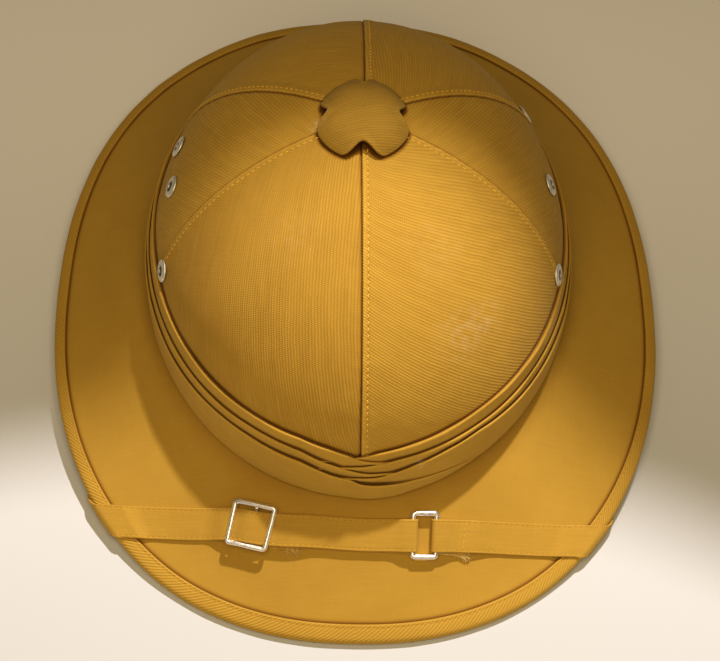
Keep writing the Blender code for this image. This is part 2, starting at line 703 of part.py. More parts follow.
# Short piece: from its end sewn beneath, round the ring's right leg and out to the right edge.
right_start = [(49.5 * MM, REST_HEIGHT), (45.5 * MM, REST_HEIGHT), (41 * MM, REST_HEIGHT)]
right_start += arc(RING_RIGHT_U, RING_HEIGHT, RING_LOOP, 270, 70, 9)
right_start += [(39.5 * MM, REST_HEIGHT + LAYER + 1.6 * MM), (43 * MM, REST_HEIGHT + LAYER + 0.5 * MM),
                (47 * MM, REST_HEIGHT + LAYER)]
right_start += outer_profile(1, 51.5 * MM, REST_HEIGHT + LAYER)
hidden = hidden_run(1)
shown = over_run(1, right_start)
rows = []
for under, top in zip(hidden, shown):
    rows.append(top + under)
short_rows = rows
strap_short = add_object("chin_strap_short", surface("chin_strap_short", rows, close_rows=False), strap_cloth, parts)
thicken(strap_short, STRAP_THICKNESS, 0.0)

# ---- slide: a square wire frame with a bar across its middle ----------------------------
def rounded_frame(left, right, bottom, top, height, radius):
    """Corners of a wire rectangle over the brim, each turned through three points."""
    points = []
    for cu, cv, start in ((right - radius, top - radius, 0), (left + radius, top - radius, 90),
                          (left + radius, bottom + radius, 180), (right - radius, bottom + radius, 270)):
        for k in range(3):
            angle = math.radians(start + 45 * k)
            points.append(over_brim(cu + radius * math.cos(angle), cv + radius * math.sin(angle), height))
    return points


slide_mesh = wire_mesh("strap_slide", rounded_frame(left_leg, right_leg, -SLIDE_HALF_V, SLIDE_HALF_V, LEG_HEIGHT, 1.3 * MM),
                       WIRE, True)
bar_path = [over_brim(SLIDE_U, v * MM, h) for v, h in (
    (-9.2, LEG_HEIGHT - 0.3 * MM), (-8.75, BAR_HEIGHT + 0.5 * MM), (-8.2, BAR_HEIGHT), (0, BAR_HEIGHT),
    (8.2, BAR_HEIGHT), (8.75, BAR_HEIGHT + 0.5 * MM), (9.2, LEG_HEIGHT - 0.3 * MM))]
bar_mesh = wire_mesh("slide_bar", bar_path, BAR_WIRE, False)
slide = add_object("strap_slide", slide_mesh, slide_metal, parts)
bar = add_object("slide_bar", bar_mesh, None, cutters)
bar.hide_render = True
bar.display_type = "WIRE"
weld = slide.modifiers.new("bar", "BOOLEAN")
weld.operation = "UNION"
weld.solver = "EXACT"
weld.object = bar

# ---- ring: a plain wire rectangle between the two straps --------------------------------
ring_mesh = wire_mesh("strap_ring", rounded_frame(RING_LEFT_U, RING_RIGHT_U, RING_MID_V - RING_HALF_V,
                                                  RING_MID_V + RING_HALF_V, RING_HEIGHT, 1.8 * MM), WIRE, True)
add_object("strap_ring", ring_mesh, ring_metal, parts)
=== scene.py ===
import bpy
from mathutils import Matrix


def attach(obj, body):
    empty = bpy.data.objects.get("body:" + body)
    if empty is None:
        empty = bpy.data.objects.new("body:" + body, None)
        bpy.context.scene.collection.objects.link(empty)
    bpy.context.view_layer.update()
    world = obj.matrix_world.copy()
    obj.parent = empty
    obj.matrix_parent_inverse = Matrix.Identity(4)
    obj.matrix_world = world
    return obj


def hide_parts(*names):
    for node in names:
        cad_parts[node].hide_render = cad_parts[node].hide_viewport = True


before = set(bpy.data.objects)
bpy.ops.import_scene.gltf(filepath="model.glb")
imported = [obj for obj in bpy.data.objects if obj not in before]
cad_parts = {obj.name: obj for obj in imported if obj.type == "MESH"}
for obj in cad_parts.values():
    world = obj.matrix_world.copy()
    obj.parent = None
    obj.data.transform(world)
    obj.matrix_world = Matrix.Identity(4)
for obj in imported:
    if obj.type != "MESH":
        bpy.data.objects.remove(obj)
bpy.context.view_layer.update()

import math

import bpy
import numpy as np
from mathutils import Matrix, Vector

MM = 0.001
scene = bpy.context.scene

# ---- camera --------------------------------------------------------------------------
ELEVATION, AZIMUTH, ROLL = math.radians(55.31), math.radians(-2.375), math.radians(3.018)
DISTANCE = 0.99691
AIM = np.array([0.00102, -0.04194, 0.04037])
back = np.array([math.sin(AZIMUTH) * math.cos(ELEVATION), -math.cos(AZIMUTH) * math.cos(ELEVATION), math.sin(ELEVATION)])
right = np.array([math.cos(AZIMUTH), math.sin(AZIMUTH), 0.0])
over = np.cross(back, right)
camera_x = right * math.cos(ROLL) + over * math.sin(ROLL)
camera_y = -right * math.sin(ROLL) + over * math.cos(ROLL)
place = AIM + DISTANCE * back
camera_data = bpy.data.cameras.new("camera")
camera_data.sensor_width = 36.0
camera_data.lens = 107.59
camera_data.clip_start = 0.05
camera = bpy.data.objects.new("camera", camera_data)
scene.collection.objects.link(camera)
camera.matrix_world = Matrix((
    (camera_x[0], camera_y[0], back[0], place[0]),
    (camera_x[1], camera_y[1], back[1], place[1]),
    (camera_x[2], camera_y[2], back[2], place[2]),
    (0.0, 0.0, 0.0, 1.0),
))
scene.camera = camera
scene.view_settings.view_transform = "Standard"

# ---- driving dimensions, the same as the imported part's -------------------------------
CROWN_HALF_WIDTH, CROWN_FRONT, CROWN_BACK = 96.5 * MM, 124.5 * MM, 116.5 * MM
CROWN_CENTRE_Y, SPRING_Z, TOP_Z = -2.7 * MM, 48.0 * MM, 145.8 * MM
CROWN_ROUND, CROWN_RISE, CROWN_WALL = 1.08, 0.95, 4.0 * MM
CROWN_FOOT_Z = 41.3 * MM
VENT_RADIUS = 9.0 * MM
BRIM_HALF_WIDTH, BRIM_HALF_LENGTH, BRIM_WIDEST_Y = 144.0 * MM, 183.5 * MM, -8.5 * MM
BRIM_POWER, BRIM_ROOT_Z, BRIM_THICKNESS, BRIM_CURL = 2.24, 41.0 * MM, 3.0 * MM, 0.30
SIDE_RISE, SIDE_RISE_FROM = 9.5 * MM, 0.50
NOSE = 2.7 * MM
REST_HALF_ANGLE = math.radians(20)
CAP_RADIUS, CAP_HEIGHT, CAP_RIM_Z, CAP_THICKNESS = 22.4 * MM, 9.6 * MM, 144.35 * MM, 1.3 * MM
CAP_NOTCH_LIFT, CAP_NOTCH_HALF = math.radians(44), math.radians(27)
EYELETS = [
    # name, plan angle in degrees, height in mm
    ("eyelet_left_front", -73.5, 76.8),
    ("eyelet_left_middle", -90.5, 93.5),
    ("eyelet_left_rear", -104.0, 92.5),
    ("eyelet_right_front", 74.5, 76.8),
    ("eyelet_right_middle", 94.0, 92.5),
    ("eyelet_right_rear", 122.0, 80.5),
]
# Seams of the crown: plan angle in degrees, side of the raised allowance (+1 towards
# larger angles), and how far its edge stands up in mm.
SEAMS = {
    "front": (0.0, 1, 0.62),
    "right_front": (75.1, -1, 0.80),
    "right_rear": (116.4, 1, 0.50),
    "back": (180.0, -1, 0.50),
    "left_rear": (-116.4, -1, 0.50),
    "left_front": (-75.1, 1, 0.80),
}
# Panels: name, seam at the smaller angle, seam at the larger angle, rib angle in degrees.
PANELS = [
    ("panel_front_right", "front", "right_front", -46.0),
    ("panel_side_right", "right_front", "right_rear", -45.0),
    ("panel_back_right", "right_rear", "back", -28.0),
    ("panel_back_left", "back", "left_rear", -52.0),
    ("panel_side_left", "left_rear", "left_front", 45.0),
    ("panel_front_left", "left_front", "front", -24.0),
]


# ---- surfaces -------------------------------------------------------------------------
def unit(vectors):
    return vectors / np.maximum(np.linalg.norm(vectors, axis=-1, keepdims=True), 1e-12)


def stack(*parts):
    return np.stack(np.broadcast_arrays(*parts), axis=-1)


def crown_plan(phi):
    s, c = np.sin(phi), np.cos(phi)
    length = np.where(c > 0, CROWN_FRONT, CROWN_BACK)
    normal = unit(stack(s / CROWN_HALF_WIDTH, -c / length))
    return stack(CROWN_HALF_WIDTH * s, CROWN_CENTRE_Y - length * c), normal


def crown(phi, t, off=0.0):
    """Outer face of the dome and its normal, t from 0 at the top to 1 at the wall."""
    s, c = np.sin(phi), np.cos(phi)
    length = np.where(c > 0, CROWN_FRONT, CROWN_BACK)
    angle = t * np.pi / 2
    radius = np.sin(angle) ** CROWN_ROUND
    height = np.maximum(np.cos(angle), 0.0) ** CROWN_RISE
    x, y = CROWN_HALF_WIDTH * radius * s, -length * radius * c
    slope = (2 / CROWN_ROUND) * np.maximum(radius, 1e-6) ** (2 / CROWN_ROUND - 2)
    rise = (2 / CROWN_RISE) * height ** (2 / CROWN_RISE - 1) / (TOP_Z - SPRING_Z)
    normal = unit(stack(slope * x / CROWN_HALF_WIDTH**2, slope * y / length**2, rise))
    point = stack(x, y + CROWN_CENTRE_Y, SPRING_Z + (TOP_Z - SPRING_Z) * height)
    return point + np.asarray(off)[..., None] * normal, normal


def crown_t(z):
    share = np.clip((np.asarray(z) - SPRING_Z) / (TOP_Z - SPRING_Z), 0.0, 1.0)
    return np.arccos(share ** (1 / CROWN_RISE)) / (np.pi / 2)


def wall(phi, z, off):
    """Crown's outer face at a height, moved outwards by off."""
    phi, z, off = np.broadcast_arrays(np.asarray(phi, float), np.asarray(z, float), np.asarray(off, float))
    dome, _ = crown(phi, crown_t(z), off)
    foot, normal = crown_plan(phi)
    foot = foot + off[..., None] * normal
    low = stack(foot[..., 0], foot[..., 1], z)
    return np.where((z <= SPRING_Z)[..., None], low, dome)


def signed_power(value, power):
    return np.sign(value) * np.abs(value) ** power


def edge_plan(phi):
    s, c = np.sin(phi), np.cos(phi)
    reach = BRIM_HALF_LENGTH + np.where(c > 0, BRIM_WIDEST_Y, -BRIM_WIDEST_Y)
    return stack(BRIM_HALF_WIDTH * signed_power(s, 2 / BRIM_POWER), BRIM_WIDEST_Y - reach * signed_power(c, 2 / BRIM_POWER))


def edge_rise(phi):
    return SIDE_RISE * (np.maximum(0.0, np.abs(np.sin(phi)) - SIDE_RISE_FROM) / (1 - SIDE_RISE_FROM)) ** 1.5


def brim_frame(phi, s):
    """Middle of the brim's thickness: point, upward normal and outward tangent."""
    phi, s = np.broadcast_arrays(np.asarray(phi, float), np.asarray(s, float))
    root, _ = crown_plan(phi)
    out = edge_plan(phi) - root
    length = np.linalg.norm(out, axis=-1) - NOSE
    out = unit(out)
    low = NOSE * math.cos(REST_HALF_ANGLE) + edge_rise(phi)
    top = BRIM_ROOT_Z - BRIM_THICKNESS / 2
    z = top + (low - top) * (s * (1 + BRIM_CURL) - BRIM_CURL * s * s)
    slope = (low - top) * ((1 + BRIM_CURL) - 2 * BRIM_CURL * s) / length
    tangent = unit(stack(out[..., 0], out[..., 1], slope))
    normal = unit(stack(-slope * out[..., 0], -slope * out[..., 1], np.ones_like(slope)))
    plan = root + out * (length * s)[..., None]
    return stack(plan[..., 0], plan[..., 1], z), normal, tangent


def brim_length(phi):
    return np.linalg.norm(edge_plan(phi) - crown_plan(phi)[0], axis=-1) - NOSE


def brim_at(x, y):
    """Plan angle and share of the brim under plan points."""
    x, y = np.broadcast_arrays(np.asarray(x, float), np.asarray(y, float))

    def side(phi):
        root, _ = crown_plan(phi)
        out = edge_plan(phi) - root
        return out[..., 0] * (y - root[..., 1]) - out[..., 1] * (x - root[..., 0])

    guess = np.arctan2(x, -(y - CROWN_CENTRE_Y))
    low, high = guess - 0.5, guess + 0.5
    start = side(low)
    for _ in range(36):
        middle = (low + high) / 2
        same = side(middle) * start > 0
        low = np.where(same, middle, low)
        high = np.where(same, high, middle)
    phi = (low + high) / 2
    root, _ = crown_plan(phi)
    out = edge_plan(phi) - root
    reach = stack(x, y) - root
    return phi, (reach * unit(out)).sum(-1) / (np.linalg.norm(out, axis=-1) - NOSE)


def ripple(points, seed, scale, waves=5):
    """Smooth wander between about -1 and 1 over points in space, waves of about scale metres."""
    rng = np.random.default_rng(seed)
    total = np.zeros(points.shape[:-1])
    for _ in range(waves):
        heading = unit(rng.normal(size=3))
        total += np.sin(points @ heading * (2 * np.pi / (scale * rng.uniform(0.7, 1.5))) + rng.uniform(0, 6.28))
    return total / (waves ** 0.5 * 1.2)


def smoothed(x, xs, ys, width):
    """Table lookup with its corners rounded over a width."""
    steps = np.linspace(-width, width, 9)
    weights = np.exp(-(steps / (0.55 * width)) ** 2)
    return sum(w * np.interp(x + d, xs, ys) for w, d in zip(weights, steps)) / weights.sum()


# ---- mesh building ----------------------------------------------------------------------
class Piece:
    """Gathers grids, tubes and stitches into one mesh with UVs in metres."""

    def __init__(self, name):
        self.name, self.count = name, 0
        self.points, self.faces, self.uvs, self.slots, self.shades = [], [], [], [], []

    def _add(self, points, faces, uvs, slot, shade):
        self.points.append(points)
        self.faces.append(faces + self.count)
        self.uvs.append(uvs)
        self.slots.append(np.full(len(faces), slot))
        self.shades.append(np.ones(len(points)) if shade is None else np.asarray(shade, float).reshape(-1))
        self.count += len(points)

    def grid(self, P, UV, around=False, ring=False, flip=False, slot=0, shade=None, keep=None):
        """Quads between rows and columns. around joins the last column to the first, ring
        the last row to the first; UV then has one more column or row."""
        rows, cols = P.shape[:2]
        r = np.arange(rows if ring else rows - 1)
        c = np.arange(cols if around else cols - 1)
        r, c = np.meshgrid(r, c, indexing="ij")
        if keep is not None:
            chosen = keep[r, c]
            r, c = r[chosen], c[chosen]
        r, c = r.reshape(-1), c.reshape(-1)
        r1, c1 = (r + 1) % rows, (c + 1) % cols
        faces = np.stack([r * cols + c, r * cols + c1, r1 * cols + c1, r1 * cols + c], 1)
        uvs = np.stack([UV[r, c], UV[r, c + 1], UV[r + 1, c + 1], UV[r + 1, c]], 1)
        if flip:
            faces, uvs = faces[:, ::-1], uvs[:, ::-1]
        self._add(P.reshape(-1, 3), faces, uvs, slot, shade)

    def fan(self, ring, centre, flip=False, slot=0):
        """Closes a ring of points with quads that meet at a centre."""
        n = len(ring)
        points = np.vstack([ring, centre])
        i = np.arange(0, n, 2)
        faces = np.stack([i, (i + 1) % n, (i + 2) % n, np.full(len(i), n)], 1)
        if flip:
            faces = faces[:, ::-1]
        uvs = points[faces][..., :2]
        self._add(points, faces, uvs, slot, None)

    def tube(self, path, radius, segments=10, cyclic=False, slot=0, squash=None):
        """Round wire along a path, with closed ends."""
        path = np.asarray(path, float)
        n = len(path)
        radius = np.broadcast_to(np.asarray(radius, float), (n,))
        if cyclic:
            tangent = unit(np.roll(path, -1, 0) - np.roll(path, 1, 0))
        else:
            tangent = unit(np.gradient(path, axis=0))
        normal = np.zeros_like(path)
        seed = np.array([0.0, 0.0, 1.0]) if abs(tangent[0, 2]) < 0.9 else np.array([1.0, 0.0, 0.0])
        normal[0] = unit(seed - tangent[0] * (seed @ tangent[0]))
        for i in range(1, n):
            step = normal[i - 1] - tangent[i] * (normal[i - 1] @ tangent[i])
            normal[i] = unit(step)
        side = np.cross(tangent, normal)
        if cyclic:
            # Spread the leftover twist over the loop.
            end = normal[-1] - tangent[0] * (normal[-1] @ tangent[0])
            twist = math.atan2(float(end @ side[0]), float(end @ normal[0]))
            turn = -twist * np.arange(n) / n
            normal, side = (normal * np.cos(turn)[:, None] + side * np.sin(turn)[:, None],
                            side * np.cos(turn)[:, None] - normal * np.sin(turn)[:, None])
        angle = 2 * np.pi * np.arange(segments) / segments
        ringed = (normal[:, None] * np.cos(angle)[None, :, None] + side[:, None] * np.sin(angle)[None, :, None])
        P = path[:, None] + ringed * radius[:, None, None]
        along = np.concatenate([[0.0], np.cumsum(np.linalg.norm(np.diff(path, axis=0), axis=1))])
        if cyclic:
            along = np.append(along, along[-1] + np.linalg.norm(path[0] - path[-1]))
        across = np.arange(segments + 1) / segments * 2 * np.pi * radius.mean()
        UV = stack(along[:, None], across[None, :])
        self.grid(P, UV, around=True, ring=cyclic, flip=True, slot=slot)
        if not cyclic:
            for ring, middle, turned in ((P[0], path[0], False), (P[-1], path[-1], True)):
                self.fan(ring, middle, flip=not turned, slot=slot)

    def stitches(self, centres, headings, normals, length, thick, slot=0):
        """Short rounded threads lying on a surface, each sunk at both its ends."""
        spine = np.array([-0.5, -0.36, 0.0, 0.36, 0.5])
        drop = np.array([-0.9, -0.12, 0.12, -0.12, -0.9])
        girth = np.array([0.35, 0.9, 1.0, 0.9, 0.35])
        angle = 2 * np.pi * np.arange(6) / 6
        sides = np.cross(headings, normals)
        core = (centres[:, None] + headings[:, None] * (spine * length)[None, :, None]
                + normals[:, None] * (drop * thick * 0.5)[None, :, None])
        ringed = (sides[:, None, None] * np.cos(angle)[None, None, :, None]
                  + normals[:, None, None] * np.sin(angle)[None, None, :, None])
        P = core[:, :, None] + ringed * (girth * thick * 0.5)[None, :, None, None]
        n = len(centres)
        r, c = np.meshgrid(np.arange(4), np.arange(6), indexing="ij")
        r, c = r.reshape(-1), c.reshape(-1)
        quad = np.stack([r * 6 + c, r * 6 + (c + 1) % 6, (r + 1) * 6 + (c + 1) % 6, (r + 1) * 6 + c], 1)
        ends = np.array([[0, 5, 4, 3], [3, 2, 1, 0], [24, 25, 26, 27], [27, 28, 29, 24]])
        quad = np.vstack([quad, ends])
        faces = (quad[None] + 30 * np.arange(n)[:, None, None]).reshape(-1, 4)
        points = P.reshape(-1, 3)
        uvs = np.zeros((len(faces), 4, 2))
        uvs[..., 0] = (np.arange(len(faces)) // len(quad) * 0.0037)[:, None]
        self._add(points, faces, uvs, slot, None)

    def make(self, *materials, smooth=True):
        points = np.vstack(self.points)
        faces = np.vstack(self.faces).astype(np.int32)
        uvs = np.concatenate(self.uvs).reshape(-1, 2)
        mesh = bpy.data.meshes.new(self.name)
        mesh.vertices.add(len(points))
        mesh.vertices.foreach_set("co", points.astype(np.float32).reshape(-1))
        mesh.loops.add(faces.size)
        mesh.loops.foreach_set("vertex_index", faces.reshape(-1))
        mesh.polygons.add(len(faces))
        mesh.polygons.foreach_set("loop_start", np.arange(len(faces), dtype=np.int32) * 4)
        mesh.polygons.foreach_set("material_index", np.concatenate(self.slots).astype(np.int32))
        layer = mesh.uv_layers.new(name="UVMap")
        layer.data.foreach_set("uv", uvs.astype(np.float32).reshape(-1))
        shade = mesh.attributes.new("shade", "FLOAT", "POINT")
        shade.data.foreach_set("value", np.concatenate(self.shades).astype(np.float32))
        mesh.update()
        mesh.validate()
        for finish in materials:
            mesh.materials.append(finish)
        if smooth:
            mesh.shade_smooth()
        made = bpy.data.objects.new(self.name, mesh)
        scene.collection.objects.link(made)
        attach(made, "root")
        return made


def along_rows(P):
    """Length along each row from its first point."""
    steps = np.linalg.norm(np.diff(P, axis=1), axis=-1)
    return np.concatenate([np.zeros((len(P), 1)), np.cumsum(steps, axis=1)], axis=1)


def along_columns(P):
    return along_rows(P.transpose(1, 0, 2)).T


# ---- materials --------------------------------------------------------------------------
class Finish:
    """Small helper for building a material's nodes."""

    def __init__(self, name):
        self.material = bpy.data.materials.new(name)
        self.material.use_nodes = True
        self.tree = self.material.node_tree
        self.shader = self.tree.nodes["Principled BSDF"]

    def add(self, kind, **settings):
        node = self.tree.nodes.new(kind)
        for key, value in settings.items():
            setattr(node, key, value)
        return node

    def put(self, socket, value):
        if hasattr(value, "is_linked") or hasattr(value, "links"):
            self.tree.links.new(value, socket)
        elif value is not None:
            socket.default_value = value

    def math(self, operation, a, b=None, c=None, clamp=False):
        node = self.add("ShaderNodeMath", operation=operation, use_clamp=clamp)
        for socket, value in zip(node.inputs, (a, b, c)):
            self.put(socket, value)
        return node.outputs[0]

    def mix(self, factor, a, b, blend="MIX"):
        node = self.add("ShaderNodeMix", data_type="RGBA", blend_type=blend)
        self.put(node.inputs[0], factor)
        self.put(node.inputs[6], a if hasattr(a, "links") else (*a, 1.0))
        self.put(node.inputs[7], b if hasattr(b, "links") else (*b, 1.0))
        return node.outputs[2]

    def noise(self, vector, scale, detail=2.0, roughness=0.5, distortion=0.0):
        node = self.add("ShaderNodeTexNoise")
        self.put(node.inputs["Vector"], vector)
        node.inputs["Scale"].default_value = scale
        node.inputs["Detail"].default_value = detail
        node.inputs["Roughness"].default_value = roughness
        node.inputs["Distortion"].default_value = distortion
        return node.outputs[0]

    def span(self, value, low, high, to_low=0.0, to_high=1.0, smooth=False):
        node = self.add("ShaderNodeMapRange", clamp=True)
        if smooth:
            node.interpolation_type = "SMOOTHSTEP"
        self.put(node.inputs[0], value)
        for socket, number in zip(node.inputs[1:5], (low, high, to_low, to_high)):
            socket.default_value = number
        return node.outputs[0]

    def uv(self):
        if not hasattr(self, "_uv"):
            node = self.add("ShaderNodeUVMap", uv_map="UVMap")
            split = self.add("ShaderNodeSeparateXYZ")
            self.tree.links.new(node.outputs[0], split.inputs[0])
            self._uv = (node.outputs[0], split.outputs[0], split.outputs[1])
        return self._uv

    def spot(self):
        if not hasattr(self, "_spot"):
            self._spot = self.add("ShaderNodeTexCoord").outputs["Object"]
        return self._spot

    def vector(self, x, y, z=0.0):
        node = self.add("ShaderNodeCombineXYZ")
        for socket, value in zip(node.inputs, (x, y, z)):
            self.put(socket, value)
        return node.outputs[0]

    def near(self, centre, inner, outer):
        """1 within inner metres of a place on the hat, 0 beyond outer."""
        node = self.add("ShaderNodeVectorMath", operation="DISTANCE")
        self.put(node.inputs[0], self.spot())
        node.inputs[1].default_value = centre
        return self.span(node.outputs["Value"], inner, outer, 1.0, 0.0, smooth=True)

    def bump(self, height, strength, distance, normal=None):
        node = self.add("ShaderNodeBump")
        node.inputs["Strength"].default_value = strength
        node.inputs["Distance"].default_value = distance
        self.put(node.inputs["Height"], height)
        if normal is not None:
            self.put(node.inputs["Normal"], normal)
        return node.outputs[0]

    def cloth(self, colour, roughness=0.9, sheen=0.25, normal=None):
        shader = self.shader
        self.put(shader.inputs["Base Color"], colour)
        if normal is not None:
            self.put(shader.inputs["Normal"], normal)
        self.put(shader.inputs["Roughness"], roughness)
        shader.inputs["Specular IOR Level"].default_value = 0.12
        shader.inputs["Sheen Weight"].default_value = sheen * 0.6
        shader.inputs["Sheen Roughness"].default_value = 0.45
        shader.inputs["Sheen Tint"].default_value = (1.0, 0.76, 0.36, 1.0)
        return self.material


def tone(colour, factor):
    return tuple(c * factor for c in colour)


KHAKI = (0.50, 0.290, 0.037)


def worn(f, colour, large=0.10, stains=()):
    """Slow differences in colour, faint soiling, scuffs at given places, and the painted shade and painted highlights
    carried by the shade attribute.
    """
    slow = f.span(f.noise(f.spot(), 14.0, 3.0), 0.3, 0.7, 1.0 - large, 1.0 + large * 0.6)
    patch = f.span(f.noise(f.spot(), 60.0, 3.0, 0.6), 0.35, 0.7, 1.0 + large * 0.35, 1.0 - large * 0.35)
    # The shade attribute holds painted shade in gaps, grooves and under parts, and painted highlights on raised edges.
    keep = f.add("ShaderNodeAttribute", attribute_name="shade").outputs["Fac"]
    factor = f.math("MULTIPLY", f.math("MULTIPLY", slow, patch), keep)
    shaded = f.mix(1.0, colour, f.vector(f.math("POWER", factor, 0.85), f.math("POWER", factor, 1.1), f.math("POWER", factor, 1.4)), "MULTIPLY")
    for centre, inner, outer, strength in stains:
        ragged = f.span(f.noise(f.spot(), 260.0, 4.0, 0.65), 0.42, 0.68)
        amount = f.math("MULTIPLY", f.math("MULTIPLY", f.near(centre, inner, outer), ragged), strength)
        shaded = f.mix(amount, shaded, (0.78, 0.62, 0.36))
    return shaded


def twill(name, base, pitch=1.30 * MM, dot=0.92 * MM, contrast=0.18, bump=0.65, stains=()):
    f = Finish(name)
    uv, u, v = f.uv()
    drift = f.noise(uv, 90.0, 2.0)
    a = f.math("ADD", u, f.math("MULTIPLY", f.math("SUBTRACT", drift, 0.5), 0.9 * MM))
    x = f.math("DIVIDE", a, pitch)
    index = f.math("FLOOR", x)
    rib = f.math("ADD", f.math("MULTIPLY", f.math("COSINE", f.math("MULTIPLY", f.math("SUBTRACT", f.math("FRACT", x), 0.5), 2 * math.pi)), 0.5), 0.5)
    rib = f.math("POWER", rib, 0.7)
    y = f.math("ADD", f.math("DIVIDE", v, dot), f.math("MULTIPLY", index, 0.382))
    dots = f.math("ADD", f.math("MULTIPLY", f.math("COSINE", f.math("MULTIPLY", y, 2 * math.pi)), 0.5), 0.5)
    threads = f.noise(f.vector(f.math("MULTIPLY", index, 1.7), f.math("MULTIPLY", v, 45.0)), 1.0, 2.0)
    fuzz = f.noise(uv, 2600.0, 2.0, 0.6)
    height = f.math("MULTIPLY", rib, f.math("ADD", 0.42, f.math("MULTIPLY", dots, 0.58)))
    height = f.math("ADD", height, f.math("MULTIPLY", fuzz, 0.34))
    light = f.span(height, 0.15, 1.10, 1.0 - contrast, 1.0 + contrast * 0.6)
    light = f.math("MULTIPLY", light, f.span(threads, 0.3, 0.7, 0.93, 1.06))
    colour = f.mix(1.0, base, f.vector(light, light, f.math("POWER", light, 1.2)), "MULTIPLY")
    colour = worn(f, colour, 0.08, stains)
    return f.cloth(colour, 0.88, 0.22, f.bump(height, bump, 0.22 * MM))


def plain_weave(name, base, pitch=0.62 * MM, contrast=0.10, bump=0.5, slub=0.07, stains=()):
    f = Finish(name)
    uv, u, v = f.uv()
    x = f.math("MULTIPLY", u, math.pi / pitch)
    y = f.math("MULTIPLY", v, math.pi / pitch)
    warp = f.math("MULTIPLY", f.math("ABSOLUTE", f.math("SINE", x)), f.math("ABSOLUTE", f.math("COSINE", y)))
    weft = f.math("MULTIPLY", f.math("ABSOLUTE", f.math("COSINE", x)), f.math("ABSOLUTE", f.math("SINE", y)))
    weave = f.math("MAXIMUM", warp, weft)
    long_threads = f.noise(f.vector(f.math("MULTIPLY", u, 60.0), f.math("MULTIPLY", v, 1500.0)), 1.0, 2.0)
    cross_threads = f.noise(f.vector(f.math("MULTIPLY", u, 1500.0), f.math("MULTIPLY", v, 60.0)), 1.0, 2.0)
    fuzz = f.noise(uv, 3000.0, 2.0, 0.6)
    height = f.math("ADD", weave, f.math("MULTIPLY", fuzz, 0.25))
    light = f.span(height, 0.3, 1.1, 1.0 - contrast, 1.0 + contrast * 0.5)
    light = f.math("MULTIPLY", light, f.span(long_threads, 0.3, 0.7, 1.0 - slub, 1.0 + slub))
    light = f.math("MULTIPLY", light, f.span(cross_threads, 0.3, 0.7, 1.0 - slub * 0.6, 1.0 + slub * 0.6))
    colour = f.mix(1.0, base, f.vector(light, light, f.math("POWER", light, 1.2)), "MULTIPLY")
    colour = worn(f, colour, 0.08, stains)
    bumped = f.math("ADD", height, f.math("MULTIPLY", long_threads, 0.5))
    return f.cloth(colour, 0.9, 0.22, f.bump(bumped, bump, 0.12 * MM))


def ribbed_tape(name, base, pitch=1.9 * MM, slant=32.0):
    """Herringbone-like tape: fine ribs slanting across its width."""
    f = Finish(name)
    uv, u, v = f.uv()
    turn = math.radians(slant)
    a = f.math("ADD", f.math("MULTIPLY", u, math.sin(turn)), f.math("MULTIPLY", v, math.cos(turn)))
    x = f.math("DIVIDE", a, pitch * 0.62)
    rib = f.math("ADD", f.math("MULTIPLY", f.math("COSINE", f.math("MULTIPLY", x, 2 * math.pi)), 0.5), 0.5)
    b = f.math("MULTIPLY", u, 2 * math.pi / (0.7 * MM))
    fine = f.math("ADD", f.math("MULTIPLY", f.math("COSINE", b), 0.5), 0.5)
    fuzz = f.noise(uv, 2800.0, 2.0, 0.6)
    height = f.math("ADD", f.math("MULTIPLY", rib, f.math("ADD", 0.8, f.math("MULTIPLY", fine, 0.2))), f.math("MULTIPLY", fuzz, 0.25))
    light = f.span(height, 0.1, 1.1, 0.78, 1.1)
    colour = f.mix(1.0, base, f.vector(light, light, f.math("POWER", light, 1.2)), "MULTIPLY")
    colour = worn(f, colour, 0.09)
    return f.cloth(colour, 0.85, 0.2, f.bump(height, 0.8, 0.2 * MM))


def thread(name, base):
    f = Finish(name)
    uv, u, v = f.uv()
    each = f.noise(uv, 400.0, 1.0)
    light = f.span(each, 0.3, 0.7, 0.85, 1.15)
    colour = f.mix(1.0, base, f.vector(light, light, light), "MULTIPLY")
    fuzz = f.noise(f.spot(), 4000.0, 1.0)
    return f.cloth(colour, 0.8, 0.2, f.bump(fuzz, 0.5, 0.08 * MM))


def metal(name, base, roughness, grime=0.35, scale=900.0, painted_bore_shade=False):
    f = Finish(name)
    wear = f.noise(f.spot(), scale, 4.0, 0.65)
    slow = f.noise(f.spot(), 160.0, 2.0)
    dirt = f.math("MULTIPLY", f.span(slow, 0.42, 0.7), grime)
    colour = f.mix(dirt, base, tone(base, 0.45))
    if painted_bore_shade:
        # Painted shade inside the eyelet's bore and under its flange, read from the shade attribute.
        keep = f.add("ShaderNodeAttribute", attribute_name="shade").outputs["Fac"]
        colour = f.mix(1.0, colour, f.vector(keep, keep, keep), "MULTIPLY")
    shader = f.shader
    f.put(shader.inputs["Base Color"], colour)
    shader.inputs["Metallic"].default_value = 1.0
    f.put(shader.inputs["Roughness"], f.span(wear, 0.3, 0.7, roughness * 0.75, roughness * 1.45))
    f.put(shader.inputs["Normal"], f.bump(wear, 0.18, 0.05 * MM))
    return f.material


